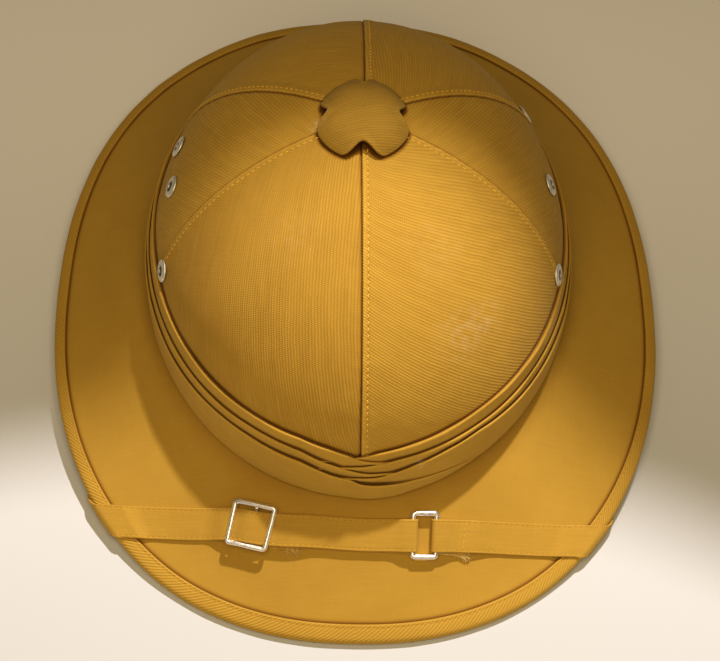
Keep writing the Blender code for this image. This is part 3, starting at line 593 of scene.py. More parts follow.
def pith(name):
    """Pale brown pressed pith of the shell's inside, with fine pores and faint streaks."""
    f = Finish(name)
    streak = f.add("ShaderNodeMapping")
    f.put(streak.inputs[0], f.spot())
    streak.inputs["Scale"].default_value = (1.0, 1.0, 0.25)
    grain = f.noise(streak.outputs[0], 420.0, 4.0, 0.6)
    pores = f.noise(f.spot(), 1500.0, 2.0, 0.6)
    slow = f.noise(f.spot(), 25.0, 3.0)
    light = f.math("MULTIPLY", f.span(grain, 0.3, 0.7, 0.84, 1.08), f.span(pores, 0.3, 0.6, 0.9, 1.03))
    light = f.math("MULTIPLY", light, f.span(slow, 0.3, 0.7, 0.9, 1.06))
    colour = f.mix(1.0, (0.50, 0.385, 0.22), f.vector(light, light, f.math("POWER", light, 1.3)), "MULTIPLY")
    shader = f.shader
    f.put(shader.inputs["Base Color"], colour)
    shader.inputs["Roughness"].default_value = 0.95
    shader.inputs["Specular IOR Level"].default_value = 0.2
    f.put(shader.inputs["Normal"], f.bump(f.math("ADD", grain, pores), 0.5, 0.25 * MM))
    return f.material


SCUFFS = [
    # place in metres, inner and outer radius, strength
    ((0.042, -0.088, 0.105), 0.001, 0.018, 0.20),
    ((0.054, -0.078, 0.103), 0.001, 0.014, 0.17),
    ((0.030, -0.060, 0.128), 0.002, 0.020, 0.08),
    ((-0.0205, -0.006, 0.1445), 0.001, 0.006, 0.6),
    ((-0.030, -0.055, 0.130), 0.002, 0.020, 0.06),
]
crown_twill = twill("crown_twill", tone(KHAKI, 1.03), stains=SCUFFS)
# The cap's twill is a darker copy of the crown's, as painted shade on the cap.
cap_twill = twill("cap_twill", tone(KHAKI, 0.71), pitch=1.2 * MM, contrast=0.17, stains=[((-0.019, -0.004, 0.1475), 0.001, 0.006, 0.5)])
brim_weave = plain_weave("brim_plain_weave", tone(KHAKI, 0.95), slub=0.03)
band_weave = plain_weave("band_plain_weave", tone(KHAKI, 1.06), pitch=0.55 * MM, slub=0.05,
                         stains=[((0.026, -0.1235, 0.0590), 0.0006, 0.0042, 0.9)])
tape_weave = ribbed_tape("binding_ribbed_tape", tone(KHAKI, 1.04))
strap_weave = plain_weave("strap_plain_weave", tone(KHAKI, 0.97), pitch=0.6 * MM, slub=0.05)
khaki_thread = thread("khaki_thread", tone(KHAKI, 1.12))
seam_thread = thread("seam_thread", tone(KHAKI, 1.55))
pale_thread = thread("pale_thread", (0.66, 0.46, 0.14))
strap_thread = thread("strap_thread", tone(KHAKI, 1.22))
nickel = metal("worn_nickel", (0.97, 0.95, 0.90), 0.36, 0.10, 500.0)
eyelet_finish = metal("dull_eyelet_metal", (0.93, 0.91, 0.84), 0.5, 0.2, 500.0, painted_bore_shade=True)
post_finish = metal("dull_post_steel", (0.45, 0.45, 0.44), 0.45, 0.5)
shell_finish = pith("pressed_pith")


# ---- crown: pith shell ------------------------------------------------------------------
CLOTH = 0.95 * MM
around = 180
phis = np.linspace(0, 2 * np.pi, around, endpoint=False)
shell = Piece("crown_shell")
heights = np.array([41.3, 43.0, 45.5, 48.0])
rows = [wall(phis, z * MM, -CLOTH) for z in heights]
ts = np.linspace(0.99, 0.0, 56)[:-1] ** 1.0
ts = np.append(ts, [0.02])
ts = np.unique(np.clip(ts, 0.02, 0.99))[::-1]
rows += [crown(phis, t, -CLOTH)[0] for t in ts]
outer = np.array(rows)
rows = [wall(phis, z * MM, -CROWN_WALL) for z in heights]
rows += [crown(phis, t, -CROWN_WALL)[0] for t in ts]
inner = np.array(rows)
for P, turned in ((outer, False), (inner, True)):
    lengths = along_rows(P)
    lengths = np.concatenate([lengths, lengths[:, -1:] + 0.003], 1)
    down = along_columns(P)
    down = np.concatenate([down, down[:, :1]], 1)
    shell.grid(P, stack(lengths, down), around=True, flip=turned)
    shell.fan(P[-1], crown(np.array(0.0), np.array(0.0005), -CLOTH if P is outer else -CROWN_WALL)[0], flip=turned)
edge = np.array([outer[0], inner[0]])
shell.grid(edge, stack(np.linspace(0, 0.6, around + 1)[None, :], np.array([0.0, 0.004])[:, None]), around=True, flip=True)
crown_shell = shell.make(shell_finish)
weld = crown_shell.modifiers.new("weld", "WELD")
weld.merge_threshold = 0.000005


def drill(target, places, radius, depth, segments=40):
    """Cuts round holes through a closed piece and keeps the result as its mesh."""
    import bmesh
    cut = bmesh.new()
    for matrix, size in zip(places, radius):
        bmesh.ops.create_cone(cut, cap_ends=True, segments=segments, radius1=size, radius2=size, depth=depth, matrix=matrix)
    mesh = bpy.data.meshes.new("drill")
    cut.to_mesh(mesh)
    cut.free()
    tool = bpy.data.objects.new("drill", mesh)
    scene.collection.objects.link(tool)
    hole = target.modifiers.new("holes", "BOOLEAN")
    hole.operation, hole.solver, hole.object = "DIFFERENCE", "EXACT", tool
    done = bpy.data.meshes.new_from_object(target.evaluated_get(bpy.context.evaluated_depsgraph_get()))
    target.modifiers.clear()
    target.data = done
    bpy.data.objects.remove(tool)


eyelet_places = []
for name, degrees, z in EYELETS:
    point, normal = crown(np.radians(degrees), crown_t(z * MM))
    aim = Vector(normal).to_track_quat("Z", "Y").to_matrix().to_4x4()
    eyelet_places.append((name, Matrix.Translation(Vector(point)) @ aim))
drill(crown_shell, [m for _, m in eyelet_places] + [Matrix.Translation((0.0, CROWN_CENTRE_Y, TOP_Z))],
      [3.1 * MM] * 6 + [VENT_RADIUS], 16 * MM)
crown_shell.data.shade_smooth()
crown_shell.data.set_sharp_from_angle(angle=math.radians(40))
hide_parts("crown")

# ---- fold lines of the pleated band: three folded strips, their ends crossing at the front --
# Each strip runs from its end right of the front (its angle is then small), round the back,
# to its end left of the front (about 360 degrees), and crosses over its own start.
# Tables: angle in degrees, height of the folded top edge in mm, offset of the face in mm.
STRIPS = [
    [(-12, 61.0, 0.85), (-8, 62.5, 0.85), (-3, 64.5, 0.9), (1.2, 66.2, 0.95), (5.3, 68.0, 1.0), (14.4, 70.1, 1.1),
     (24, 71.6, 1.2), (33, 72.2, 1.2), (50, 71.9, 1.2), (75, 71.4, 1.2), (110, 71.4, 1.2), (180, 70.0, 1.2),
     (250, 71.4, 1.2), (285, 71.4, 1.2), (310, 71.9, 1.3), (330, 72.3, 1.4), (344.4, 71.7, 1.45), (352.2, 69.3, 1.45),
     (357.2, 66.9, 1.5), (360.2, 64.6, 1.5), (363, 63.4, 1.5), (365.3, 62.9, 1.5), (369, 61.9, 1.5), (372, 61.0, 1.5)],
    [(-10, 58.3, 2.0), (-6, 59.9, 2.0), (-2.5, 60.8, 2.05), (1.2, 61.2, 2.05), (4.1, 62.3, 2.05), (8, 63.4, 2.05),
     (11.2, 64.1, 2.05), (15.6, 64.5, 2.05), (22, 65.1, 2.0), (33, 65.6, 2.0), (50, 64.4, 2.0), (75, 62.6, 2.0),
     (110, 61.8, 2.0), (180, 60.4, 2.0), (250, 61.8, 2.0), (285, 62.6, 2.0), (310, 64.6, 2.1), (330, 66.4, 2.3), (345, 66.0, 2.5),
     (350.9, 62.9, 2.6), (354.1, 61.5, 2.6), (357, 59.8, 2.65), (360, 58.2, 2.65), (362.5, 57.2, 2.65), (366.6, 57.0, 2.65),
     (369, 56.6, 2.65), (372, 55.6, 2.65)],
    [(-9, 53.6, 3.2), (-4.4, 54.6, 3.2), (-0.9, 54.9, 3.2), (2.5, 54.9, 3.2), (5.3, 55.2, 3.2), (8.1, 56.8, 3.2), (10.3, 57.6, 3.2),
     (14.1, 59.3, 3.1), (23.1, 61.9, 3.0), (32, 62.8, 2.9), (50, 59.5, 2.8), (75, 56.0, 2.8), (110, 54.6, 2.8), (180, 53.0, 2.8),
     (250, 54.6, 2.8), (285, 56.0, 2.8), (310, 59.0, 2.9), (330, 61.4, 3.2), (345.6, 60.8, 3.7), (349.7, 58.5, 3.8),
     (354.1, 55.9, 3.9), (357, 55.1, 3.95), (358.4, 54.6, 4.1), (360.3, 52.4, 4.5), (363.1, 51.5, 4.7), (366.6, 50.9, 4.6),
     (370.6, 50.0, 4.3), (374.1, 49.3, 3.85), (379, 48.2, 3.55), (385, 46.4, 3.25), (391, 44.0, 3.0)],
]
LOW_EDGE = [(-21, 41.2), (-9, 40.7), (0, 40.5), (7, 40.2), (15, 41.0), (30, 42.4), (45, 42.6), (60, 42.4), (90, 41.8), (180, 41.0),
            (270, 40.4), (320, 40.4), (345, 41.0), (351, 40.7), (360, 40.5), (367, 40.2), (375, 41.0), (391, 42.4)]
low_x, low_z = np.array(LOW_EDGE).T




def band_cover(angle, layer):
    """Highest fold line, in mm, of the band's layers outside a given one; -1 is the crown."""
    best = np.full(np.shape(angle), -100.0)
    for number, table_ in enumerate(STRIPS):
        xs, tops, _ = np.array(table_, float).T
        for turn in (-360.0, 0.0, 360.0):
            at = np.asarray(angle) + turn
            order = number * 2 + (at > 180.0)
            use = (at >= xs[0]) & (at <= xs[-1]) & (order > layer)
            best = np.where(use, np.maximum(best, smoothed(at, xs, tops, 1.6)), best)
    return best


# ---- outline of the vent cap ---------------------------------------------------------------
def theta_wrapped(theta):
    return (theta + np.pi) % (2 * np.pi) - np.pi


def cap_surface(theta, share):
    offset = (theta + np.pi / 4) % (np.pi / 2) - np.pi / 4
    front = np.cos(np.pi / 2 * np.minimum(1.0, np.abs(theta_wrapped(theta)) / 0.7)) ** 2
    half = CAP_NOTCH_HALF * (1 + 0.16 * front)
    notch = np.cos(np.pi / 2 * np.minimum(1.0, np.abs(offset) / half)) ** (2 - 0.6 * front)
    angle = (np.pi / 2 - CAP_NOTCH_LIFT * notch) * share
    radius = CAP_RADIUS * np.sin(angle) ** 0.92
    z = CAP_RIM_Z + CAP_HEIGHT * np.maximum(np.cos(angle), 0.0) ** 1.05
    # The two rear lobes hang a little closer together than the front ones.
    rear = np.clip(-np.cos(theta), 0.0, 1.0) ** 0.7 * np.clip(share / 0.5, 0.0, 1.0)
    # It sits a little to the left, and dips between its dome and the flared hem.
    z = z - 0.75 * MM * np.exp(-((share - 0.72) / 0.16) ** 2) * (1 - 0.6 * notch)
    return stack(radius * np.sin(theta) * (0.945 - 0.15 * rear) - 0.9 * MM * share, CROWN_CENTRE_Y - radius * np.cos(theta), z)


def cap_outline(theta):
    """Plan radius of the cap's edge at a plan angle about its axis."""
    steps = np.linspace(-np.pi, np.pi, 721)
    edge_ = cap_surface(steps, 1.0)
    at = np.arctan2(edge_[:, 0], CROWN_CENTRE_Y - edge_[:, 1])
    order = np.argsort(at)
    return np.interp(theta, at[order], np.hypot(edge_[:, 0], edge_[:, 1] - CROWN_CENTRE_Y)[order])


# ---- crown: six twill panels ------------------------------------------------------------
FINE = np.array([0.0, 0.25, 0.6, 1.0, 1.8, 2.3, 2.6, 2.9, 3.4, 4.4, 5.6, 7.2]) * MM


def allowance(d, raised, height):
    """Height of the cloth beside a seam, d metres away from it."""
    d = d / MM
    if raised:
        xs = [0.0, 0.22, 0.55, 1.0, 1.8, 2.3, 2.6, 2.9, 3.4, 4.4, 5.6, 7.2]
        ys = [-0.55, 0.05, height * 1.15, height * 1.08, height, height * 0.8, height * 0.55, height * 0.8, height * 0.92, height * 0.6, height * 0.12, 0.0]
    else:
        xs = [0.0, 0.25, 0.6, 1.0, 1.8, 2.6, 7.2]
        ys = [-0.55, -0.36, -0.16, -0.06, -0.01, 0.0, 0.0]
    return np.interp(d, xs, ys) * MM


# Painted shade in the seam's groove and along its stitch line, and a painted highlight on the raised allowance.
def seam_shade(d, raised):
    d = d / MM
    if raised:
        return np.interp(d, [0.0, 0.22, 0.5, 1.2, 2.3, 2.6, 2.9, 3.5], [0.16, 0.7, 1.26, 1.16, 1.04, 0.74, 0.98, 1.0])
    return np.interp(d, [0.0, 0.3, 0.8, 1.8], [0.16, 0.34, 0.82, 1.0])


PANEL_TOP_T = float(np.interp(11.0 * MM, (np.sin(np.linspace(0, 1, 400) * np.pi / 2) ** CROWN_ROUND) * 108 * MM, np.linspace(0, 1, 400)))
PANEL_LOW_T = float(crown_t(53 * MM))
eyelet_centres = np.array([list(m.translation) for _, m in eyelet_places])
panel_t = np.concatenate([np.linspace(PANEL_TOP_T, PANEL_TOP_T + 0.095, 26)[:-1], np.linspace(PANEL_TOP_T + 0.095, float(crown_t(76 * MM)), 74)[:-1], crown_t(np.arange(76.0, 64.0, -0.45) * MM),
                          np.linspace(float(crown_t(64 * MM)), PANEL_LOW_T, 7)])
stitch_piece = Piece("crown_stitches")


def panel_point(phi, t, off):
    P, N = crown(phi, t)
    wander = 0.16 * MM * ripple(P, 3, 0.05) + 0.05 * MM * ripple(P, 4, 0.013)
    return P + (off + wander)[..., None] * N, N


def arc_rate(phi, t):
    step = 0.004
    return np.linalg.norm(crown(phi + step, t)[0] - crown(phi - step, t)[0], axis=-1) / (2 * step)


def seam_angle(seam, t):
    """Plan angle of a seam down the crown; the front one leans a little."""
    base_ = np.full(np.shape(t), math.radians(SEAMS[seam][0]))
    if seam == "front":
        base_ = base_ + np.interp(t, [0.10, 0.95], [-1.5, 0.9]) * MM / arc_rate(0.0, t)
    return base_


for name, low_seam, high_seam, rib in PANELS:
    low, high = math.radians(SEAMS[low_seam][0]), math.radians(SEAMS[high_seam][0])
    wrap = 2 * math.pi if high < low else 0.0
    high += wrap
    low_line, high_line = seam_angle(low_seam, panel_t), seam_angle(high_seam, panel_t) + wrap
    fine_steps = np.linspace(low, high, 121)
    span = np.linalg.norm(np.diff(crown(fine_steps[None, :], panel_t[:, None])[0], axis=1), axis=-1).sum(1)
    shrink = np.minimum(1.0, 0.42 * span / FINE[-1])
    middle = int(round((high - low) * 0.100 / (1.9 * MM)))
    columns = []
    for t, room, low_at, high_at in zip(panel_t, shrink, low_line, high_line):
        first = low_at + FINE * room / arc_rate(low_at, t)
        last = (high_at - FINE * room / arc_rate(high_at, t))[::-1]
        columns.append(np.concatenate([first, np.linspace(first[-1], last[0], middle + 2)[1:-1], last]))
    phi = np.array(columns)
    t = np.broadcast_to(panel_t[:, None], phi.shape)
    n = len(FINE)
    low_d = np.full(phi.shape, 1.0)
    high_d = np.full(phi.shape, 1.0)
    low_d[:, :n] = FINE[None, :] * shrink[:, None]
    high_d[:, -n:] = (FINE[None, :] * shrink[:, None])[:, ::-1]
    _, low_side, low_height = SEAMS[low_seam]
    _, high_side, high_height = SEAMS[high_seam]
    off = allowance(low_d, low_side > 0, low_height) + allowance(high_d, high_side < 0, high_height)
    base, _ = crown(phi, t)
    pull = np.exp(-np.minimum(low_d, high_d) / (5 * MM))
    off += 0.07 * MM * pull * np.sin(along_columns(base) / (7.5 * MM) * 2 * np.pi + 1.3 * low)
    P, N = panel_point(phi, t, off)
    rows = along_rows(base)
    u = rows - rows[:, rows.shape[1] // 2][:, None]
    down = np.concatenate([[0.0], np.cumsum(np.linalg.norm(np.diff(base[:, phi.shape[1] // 2], axis=0), axis=1))])
    v = np.broadcast_to(down[:, None], u.shape)
    turn = math.radians(rib)
    UV = stack(u * math.cos(turn) + v * math.sin(turn), -u * math.sin(turn) + v * math.cos(turn))
    shade = np.minimum(seam_shade(low_d, low_side > 0), seam_shade(high_d, high_side < 0))
    shade = np.where((low_d < 3.5 * MM) | (high_d < 3.5 * MM), seam_shade(low_d, low_side > 0) * seam_shade(high_d, high_side < 0), 1.0)
    # Painted shade on the crown in the gap just above the band's top fold.
    above = P[..., 2] / MM - band_cover(np.degrees(phi), -1)
    shade = shade * np.interp(above, [0.30, 0.75, 1.4], [0.26, 0.70, 1.0])
    # Painted shade on the crown under and just around the vent cap's edge.
    aside, ahead_ = P[..., 0], CROWN_CENTRE_Y - P[..., 1]
    beyond = (np.hypot(aside, ahead_) - cap_outline(np.arctan2(aside, ahead_))) / MM
    shade = shade * np.interp(beyond, [-2.5, 0.4, 1.0, 1.9], [0.12, 0.17, 0.52, 1.0])
    # The front-left panel is darkened a little as painted shade.
    shade = shade * {"panel_front_left": 0.91}.get(name, 1.0)
    centre = (P[:-1, :-1] + P[1:, 1:]) / 2
    clear = np.linalg.norm(centre[..., None, :] - eyelet_centres, axis=-1).min(-1) > 3.7 * MM
    keep = np.ones(P.shape[:2], bool)
    keep[:-1, :-1] = clear
    panel = Piece(name)
    panel.grid(P, UV, shade=shade, keep=keep)
    made = panel.make(crown_twill)
    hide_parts("crown")


def seam_stitches(piece, seam, side, height, pitch=2.85 * MM, length=2.0 * MM, thick=0.60 * MM, reach=2.6 * MM):
    """A row of stitches beside a seam, from under the cap down to the band."""
    t = np.linspace(PANEL_TOP_T + 0.02, float(crown_t(61 * MM)), 1500)
    phi0 = seam_angle(seam, t)
    phi = phi0 + side * reach / arc_rate(phi0, t)
    P, N = panel_point(phi, t, np.full(t.shape, height * 0.55 * MM + 0.07 * MM))
    run = np.concatenate([[0.0], np.cumsum(np.linalg.norm(np.diff(P, axis=0), axis=1))])
    marks = np.arange(pitch / 2, run[-1], pitch)
    centres = np.stack([np.interp(marks, run, P[:, k]) for k in range(3)], 1)
    normals = unit(np.stack([np.interp(marks, run, N[:, k]) for k in range(3)], 1))
    ahead = np.stack([np.interp(marks + 0.4 * MM, run, P[:, k]) for k in range(3)], 1)
    headings = unit(ahead - centres)
    headings = unit(headings - normals * (headings * normals).sum(-1, keepdims=True))
    clear = np.linalg.norm(centres[:, None] - eyelet_centres[None], axis=-1).min(1) > 6.2 * MM
    piece.stitches(centres[clear], headings[clear], normals[clear], length, thick)


for seam, (_, side, height) in SEAMS.items():
    seam_stitches(stitch_piece, seam, side, height)
crown_stitches = stitch_piece.make(seam_thread)

# ---- brim: cloth-covered shell ----------------------------------------------------------
brim_piece = Piece("brim_cloth")
around = 260
phis = np.linspace(0, 2 * np.pi, around, endpoint=False)
tape_edge = 5.4 * MM * (1 - 0.36 * np.sin(phis) ** 2)
share_rows = [np.full(around, s) for s in np.linspace(0.0, 0.80, 32)]
for beyond in (3.2, 2.4, 1.7, 1.2, 0.8, 0.45, 0.15, -0.3, -1.5, -3.2):
    share_rows.append(np.maximum(1 - (tape_edge + beyond * MM) / brim_length(phis), share_rows[-1] + 0.002))
share_rows.append(np.full(around, 1.0))
brim_shade = np.ones(len(share_rows) + 1)
# Painted shade on the brim cloth just inside the binding's inner edge.
brim_shade[-9:] = [0.94, 0.80, 0.58, 0.38, 0.26, 0.25, 0.25, 0.25, 0.25]


def brim_skin(side):
    foot, normal = crown_plan(phis)
    ring = foot - CROWN_WALL * normal
    rows = [stack(ring[:, 0], ring[:, 1], np.full(around, BRIM_ROOT_Z - BRIM_THICKNESS / 2 + side * BRIM_THICKNESS / 2))]
    for s in share_rows:
        middle, up, _ = brim_frame(phis, s)
        fade = np.clip(s / 0.12, 0, 1) * np.clip((1.0 - s) / 0.14, 0, 1)
        wander = 0.30 * MM * ripple(middle, 11, 0.11) * fade * (1.0 if side > 0 else 0.6)
        rows.append(middle + up * (side * BRIM_THICKNESS / 2 + wander)[:, None])
    return np.array(rows)


top_skin, low_skin = brim_skin(1), brim_skin(-1)
section = np.concatenate([top_skin, low_skin[::-1]])
section = np.concatenate([section, section[:1]])
plan = section[..., :2].copy()
plan = np.concatenate([plan, plan[:, :1]], 1)
# The cloth lies along the slope, so its weave is a little longer than the plan.
plan = plan * 1.06
top_rows = len(top_skin)
top_shade = np.repeat(brim_shade[:, None], around, 1)
# Painted shade on the cloth in the angle under the band.
top_shade[:9] *= np.array([0.70, 0.70, 0.72, 0.76, 0.82, 0.88, 0.93, 0.97, 0.99])[:, None]
brim_piece.grid(section[:top_rows], plan[:top_rows], around=True, flip=True, shade=top_shade)
brim_piece.grid(section[top_rows - 1:top_rows + 1], plan[top_rows - 1:top_rows + 1], around=True, flip=True)
brim_piece.grid(section[top_rows:-1], plan[top_rows:-1], around=True, flip=True, shade=top_shade[::-1])
brim_piece.grid(section[-2:], plan[-2:], around=True, flip=True)
brim_cloth = brim_piece.make(brim_weave)
weld = brim_cloth.modifiers.new("weld", "WELD")
weld.merge_threshold = 0.000005
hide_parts("brim")

# ---- binding ----------------------------------------------------------------------------
around = 420
phis = np.linspace(0, 2 * np.pi, around, endpoint=False)
length = brim_length(phis)
centre, up, out = brim_frame(phis, np.ones(around))
down = np.arctan2(out[:, 2], np.hypot(out[:, 0], out[:, 1]))
plan_out = unit(stack(out[:, 0], out[:, 1], np.zeros(around)))
UP = np.array([0.0, 0.0, 1.0])
BIND_SIDE = 0.36


def bind_share(phi):
    """The tape reaches less far in at the sides than at the front and back."""
    return 1 - BIND_SIDE * np.sin(phi) ** 2


LEG = [
    # inwards from the rounded edge, height above the brim's middle, in mm
    (5.42, 1.42), (5.46, 1.80), (5.36, 2.30), (5.05, 2.66), (4.6, 2.74), (4.2, 2.60), (3.9, 2.50),
    (3.6, 2.60), (3.0, 2.70), (2.0, 2.74), (1.0, 2.72),
]
rows = []
for inward, height in LEG:
    middle, normal, _ = brim_frame(phis, 1 - inward * MM * bind_share(phis) / length)
    rows.append(middle + normal * height * MM)
for share in np.linspace(0.0, 1.0, 13):
    angle = (np.pi / 2 + down) * (1 - share) + (down - np.pi / 2) * share
    rows.append(centre + NOSE * (plan_out * np.cos(angle)[:, None] + UP * np.sin(angle)[:, None]))
for inward, height in LEG[::-1]:
    middle, normal, _ = brim_frame(phis, 1 - inward * MM * bind_share(phis) / length)
    rows.append(middle - normal * height * MM)
P = np.array(rows)
wave = 0.10 * MM * ripple(P, 21, 0.018)
P = P + wave[..., None] * up
P[..., 2] = np.maximum(P[..., 2], 0.00002)
binding_piece = Piece("binding_tape")
run = along_rows(P[10:11])[0]
run = np.append(run, run[-1] + np.linalg.norm(P[10, 0] - P[10, -1]))
run = run * (round(run[-1] / (1.9 * MM)) * 1.9 * MM / run[-1])
across = along_columns(P).mean(1)
shade = np.ones(P.shape[:2])
# Painted shade along the tape's inner edges and in its stitch groove, and a painted highlight on its rolled ridge.
shade[0], shade[1], shade[2], shade[-1], shade[-2] = 0.25, 0.45, 0.9, 0.45, 0.7
shade[3:5] = 1.08
shade[6], shade[-7] = 0.85, 0.85
binding_piece.grid(P, stack(run[None, :], across[:, None]), around=True, flip=True, shade=shade)
binding_tape = binding_piece.make(tape_weave)
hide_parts("brim_binding")


def edge_stitches(piece, inward, height, side, pitch=3.0 * MM, length_=2.2 * MM, thick=0.42 * MM):
    phi = np.linspace(0, 2 * np.pi, 6001)
    middle, normal, _ = brim_frame(phi, 1 - inward * bind_share(phi) / brim_length(phi))
    P = middle + side * normal * height
    run = np.concatenate([[0.0], np.cumsum(np.linalg.norm(np.diff(P, axis=0), axis=1))])
    marks = np.arange(pitch / 2, run[-1] - pitch / 2, pitch)
    centres = np.stack([np.interp(marks, run, P[:, k]) for k in range(3)], 1)
    normals = unit(np.stack([np.interp(marks, run, side * normal[:, k]) for k in range(3)], 1))
    ahead = np.stack([np.interp(marks + 0.4 * MM, run, P[:, k]) for k in range(3)], 1)
    headings = unit(ahead - centres)
    headings = unit(headings - normals * (headings * normals).sum(-1, keepdims=True))
    piece.stitches(centres, headings, normals, length_, thick)


edge_piece = Piece("binding_stitches")
edge_stitches(edge_piece, 3.9 * MM, 2.52 * MM, 1)
edge_stitches(edge_piece, 3.9 * MM, 2.52 * MM, -1)
binding_stitches = edge_piece.make(khaki_thread)

# ---- pleated band ------------------------------------------------------------------------
def strip_angles(start, end):
    front = np.arange(-25.0, 30.0, 0.6)
    angles_ = np.concatenate([front, np.arange(30.0, 335.0, 2.0), front[1:] + 360.0])
    angles_ = angles_[(angles_ > start) & (angles_ < end)]
    return np.concatenate([[start], angles_, [end]])


for number, table_ in enumerate(STRIPS):
    xs, tops, offs = np.array(table_, float).T
    angle = strip_angles(xs[0], xs[-1])
    top = smoothed(angle, xs, tops, 1.6)
    off = smoothed(angle, xs, offs, 1.6)
    if number < 2:
        nxs, ntops, _ = np.array(STRIPS[number + 1], float).T
        # The strip ends behind the one below it.
        low = np.interp(angle, nxs, ntops) - 5.0
        low = np.minimum(low, top - 4.0)
    else:
        low = smoothed(angle, low_x, low_z, 2.0)
        low = np.minimum(low, top - 1.6)
    spots = wall(np.radians(angle), 60 * MM, 0.0)
    top = top + 0.22 * ripple(spots, 30 + number, 0.045)
    fat = 1.0 + 0.25 * ripple(spots, 40 + number, 0.03)
    # The last strip's end lies pressed flat on its own start, so their edges fade out there.
    pressed = np.clip((angle - 367.0) / 6.0, 0.0, 1.0) * (number == 2)
    under = np.clip((angle - 7.0) / 6.0, 0.0, 1.0) * np.clip((42.0 - angle) / 8.0, 0.0, 1.0) * (number == 2)
    fat = fat * (1 - 0.6 * pressed)
    h = top - low
    layer = np.where(angle > 180.0, 2 * number + 1, 2 * number)
    cover = np.full(angle.shape, -100.0)
    for value in (2 * number, 2 * number + 1):
        cover = np.where(layer == value, band_cover(angle, value), cover)
    cover = np.clip(cover, low + 0.6, top - 1.1)
    seen = top - cover
    # Section from the hidden back leg over the fold and down the face: drop below the top, offset.
    # A lip stands out at the fold, the face bellies a little, and goes in under the next strip.
    section = [(np.minimum(6.0, 0.8 * h), -0.50 + 0 * h), (np.minimum(3.0, 0.4 * h), -0.46 + 0 * h), (0.9 + 0 * h, -0.34 + 0 * h),
               (0.35 + 0 * h, -0.18 + 0 * h), (0.06 + 0 * h, 0.08 + 0 * h), (0.0 + 0 * h, 0.40 * fat), (0.22 + 0 * h, 0.66 * fat),
               (np.minimum(0.7, 0.5 * seen), 0.80 * fat), (np.minimum(1.5, 0.62 * seen), 0.66 * fat), (0.74 * seen, 0.42 * fat),
               (np.maximum(seen - 0.9, 0.80 * seen), 0.26 + 0 * h), (np.maximum(seen - 0.35, 0.88 * seen), 0.16 + 0 * h), (seen, 0.10 + 0 * h)]
    if number == 0:
        # The uppermost fold is drawn tight against the crown.
        tight = 0.10 - off
        section[:4] = [(np.minimum(6.0, 0.8 * h), tight), (np.minimum(3.0, 0.4 * h), tight), (0.62 + 0 * h, tight), (0.26 + 0 * h, 0.62 * tight)]
    if number < 2:
        section += [(0.5 * (h + seen), 0.02 + 0 * h), (h, -0.1 + 0 * h)]
    else:
        section += [(0.5 * (h + seen), 0.15 + 0 * h), (np.maximum(h - 1.6, 0.6 * h + 0.4 * seen), 0.24 + 0 * h),
                    (np.maximum(h - 0.7, 0.4 * h + 0.6 * seen), 0.28 + 0 * h), (h - 0.12, 0.10 + 0 * h), (h, -0.2 + 0 * h), (h - 0.3, -0.6 + 0 * h),
                    (np.maximum(h - 1.6, 0.5 * h), -0.75 + 0 * h)]
    rows = []
    for drop, lift in section:
        z = top - drop
        rows.append(wall(np.radians(angle), z * MM, (off + lift) * MM))
    P = np.array(rows)
    face = ripple(P, 50 + number, 0.02)
    _, normal = crown_plan(np.radians(angle))
    outward = stack(normal[:, 0], normal[:, 1], np.zeros(len(angle)))
    weight = np.zeros(len(section))
    weight[7:11] = 1.0
    P = P + (0.10 * MM * face * weight[:, None])[..., None] * outward[None]
    run = along_rows(P[7:8])[0]
    across = along_columns(P).mean(1)
    shade = np.ones(P.shape[:2])
    # Painted shade in the gap behind each fold and where the strip goes in under the next one, and a painted highlight
    # on the fold's lip; where the last strip lies pressed flat this painted shade fades out.
    shade[:6] = np.array([0.34, 0.34, 0.38, 0.5, 0.76, 1.0])[:, None]
    if number == 0:
        shade[:6] = np.array([0.30, 0.30, 0.32, 0.42, 0.74, 1.0])[:, None]
    shade[6:8] = 1.06
    shade[10:13] = np.array([0.92, 0.60, 0.34])[:, None]
    if number < 2:
        shade[-2:] = 0.28
    else:
        covered = (band_cover(angle, 4) > -50) & (angle < 180.0)
        shade[13] = np.where(covered, 0.28, 0.9)
        shade[10:13, ~covered] = 1.0
        shade[:6] += (1 - shade[:6]) * 0.85 * pressed
        shade[10:14] += (1 - shade[10:14]) * 0.85 * under
    piece = Piece("puggaree_strip_%d" % (number + 1))
    piece.grid(P, stack(run[None, :], across[:, None]), flip=True, shade=shade)
    made = piece.make(band_weave)
    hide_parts("puggaree")

# ---- vent cap ---------------------------------------------------------------------------
around = 192
thetas = np.linspace(0, 2 * np.pi, around, endpoint=False)
shares = np.concatenate([[0.015], np.linspace(0.05, 1.0, 34)])
P = np.array([cap_surface(thetas, s) for s in shares])
tangent_a = np.roll(P, -1, 1) - np.roll(P, 1, 1)
tangent_s = np.gradient(P, axis=0)
normal = unit(np.cross(tangent_s, tangent_a))
normal = np.where((normal[..., 2:] < 0) & (np.arange(len(shares))[:, None, None] < 20), -normal, normal)
flipper = np.sign((normal * (P - np.array([0, CROWN_CENTRE_Y, CAP_RIM_Z - 0.01]))).sum(-1, keepdims=True))
normal = normal * flipper
wander = 0.14 * MM * ripple(P, 61, 0.02)
hem = np.interp(shares, [0.0, 0.80, 0.86, 0.93, 0.98, 1.0], [0, 0, -0.12, 0.12, 0.15, 0.0]) * MM
outer = P + normal * (wander + hem[:, None])[..., None]
inner = P - normal * CAP_THICKNESS
radial = along_columns(P)
U = radial * np.sin(thetas)[None]
V = radial * np.cos(thetas)[None]
turn = math.radians(80)
UV = stack(U * math.cos(turn) + V * math.sin(turn), -U * math.sin(turn) + V * math.cos(turn))
UV = np.concatenate([UV, UV[:, :1]], 1)
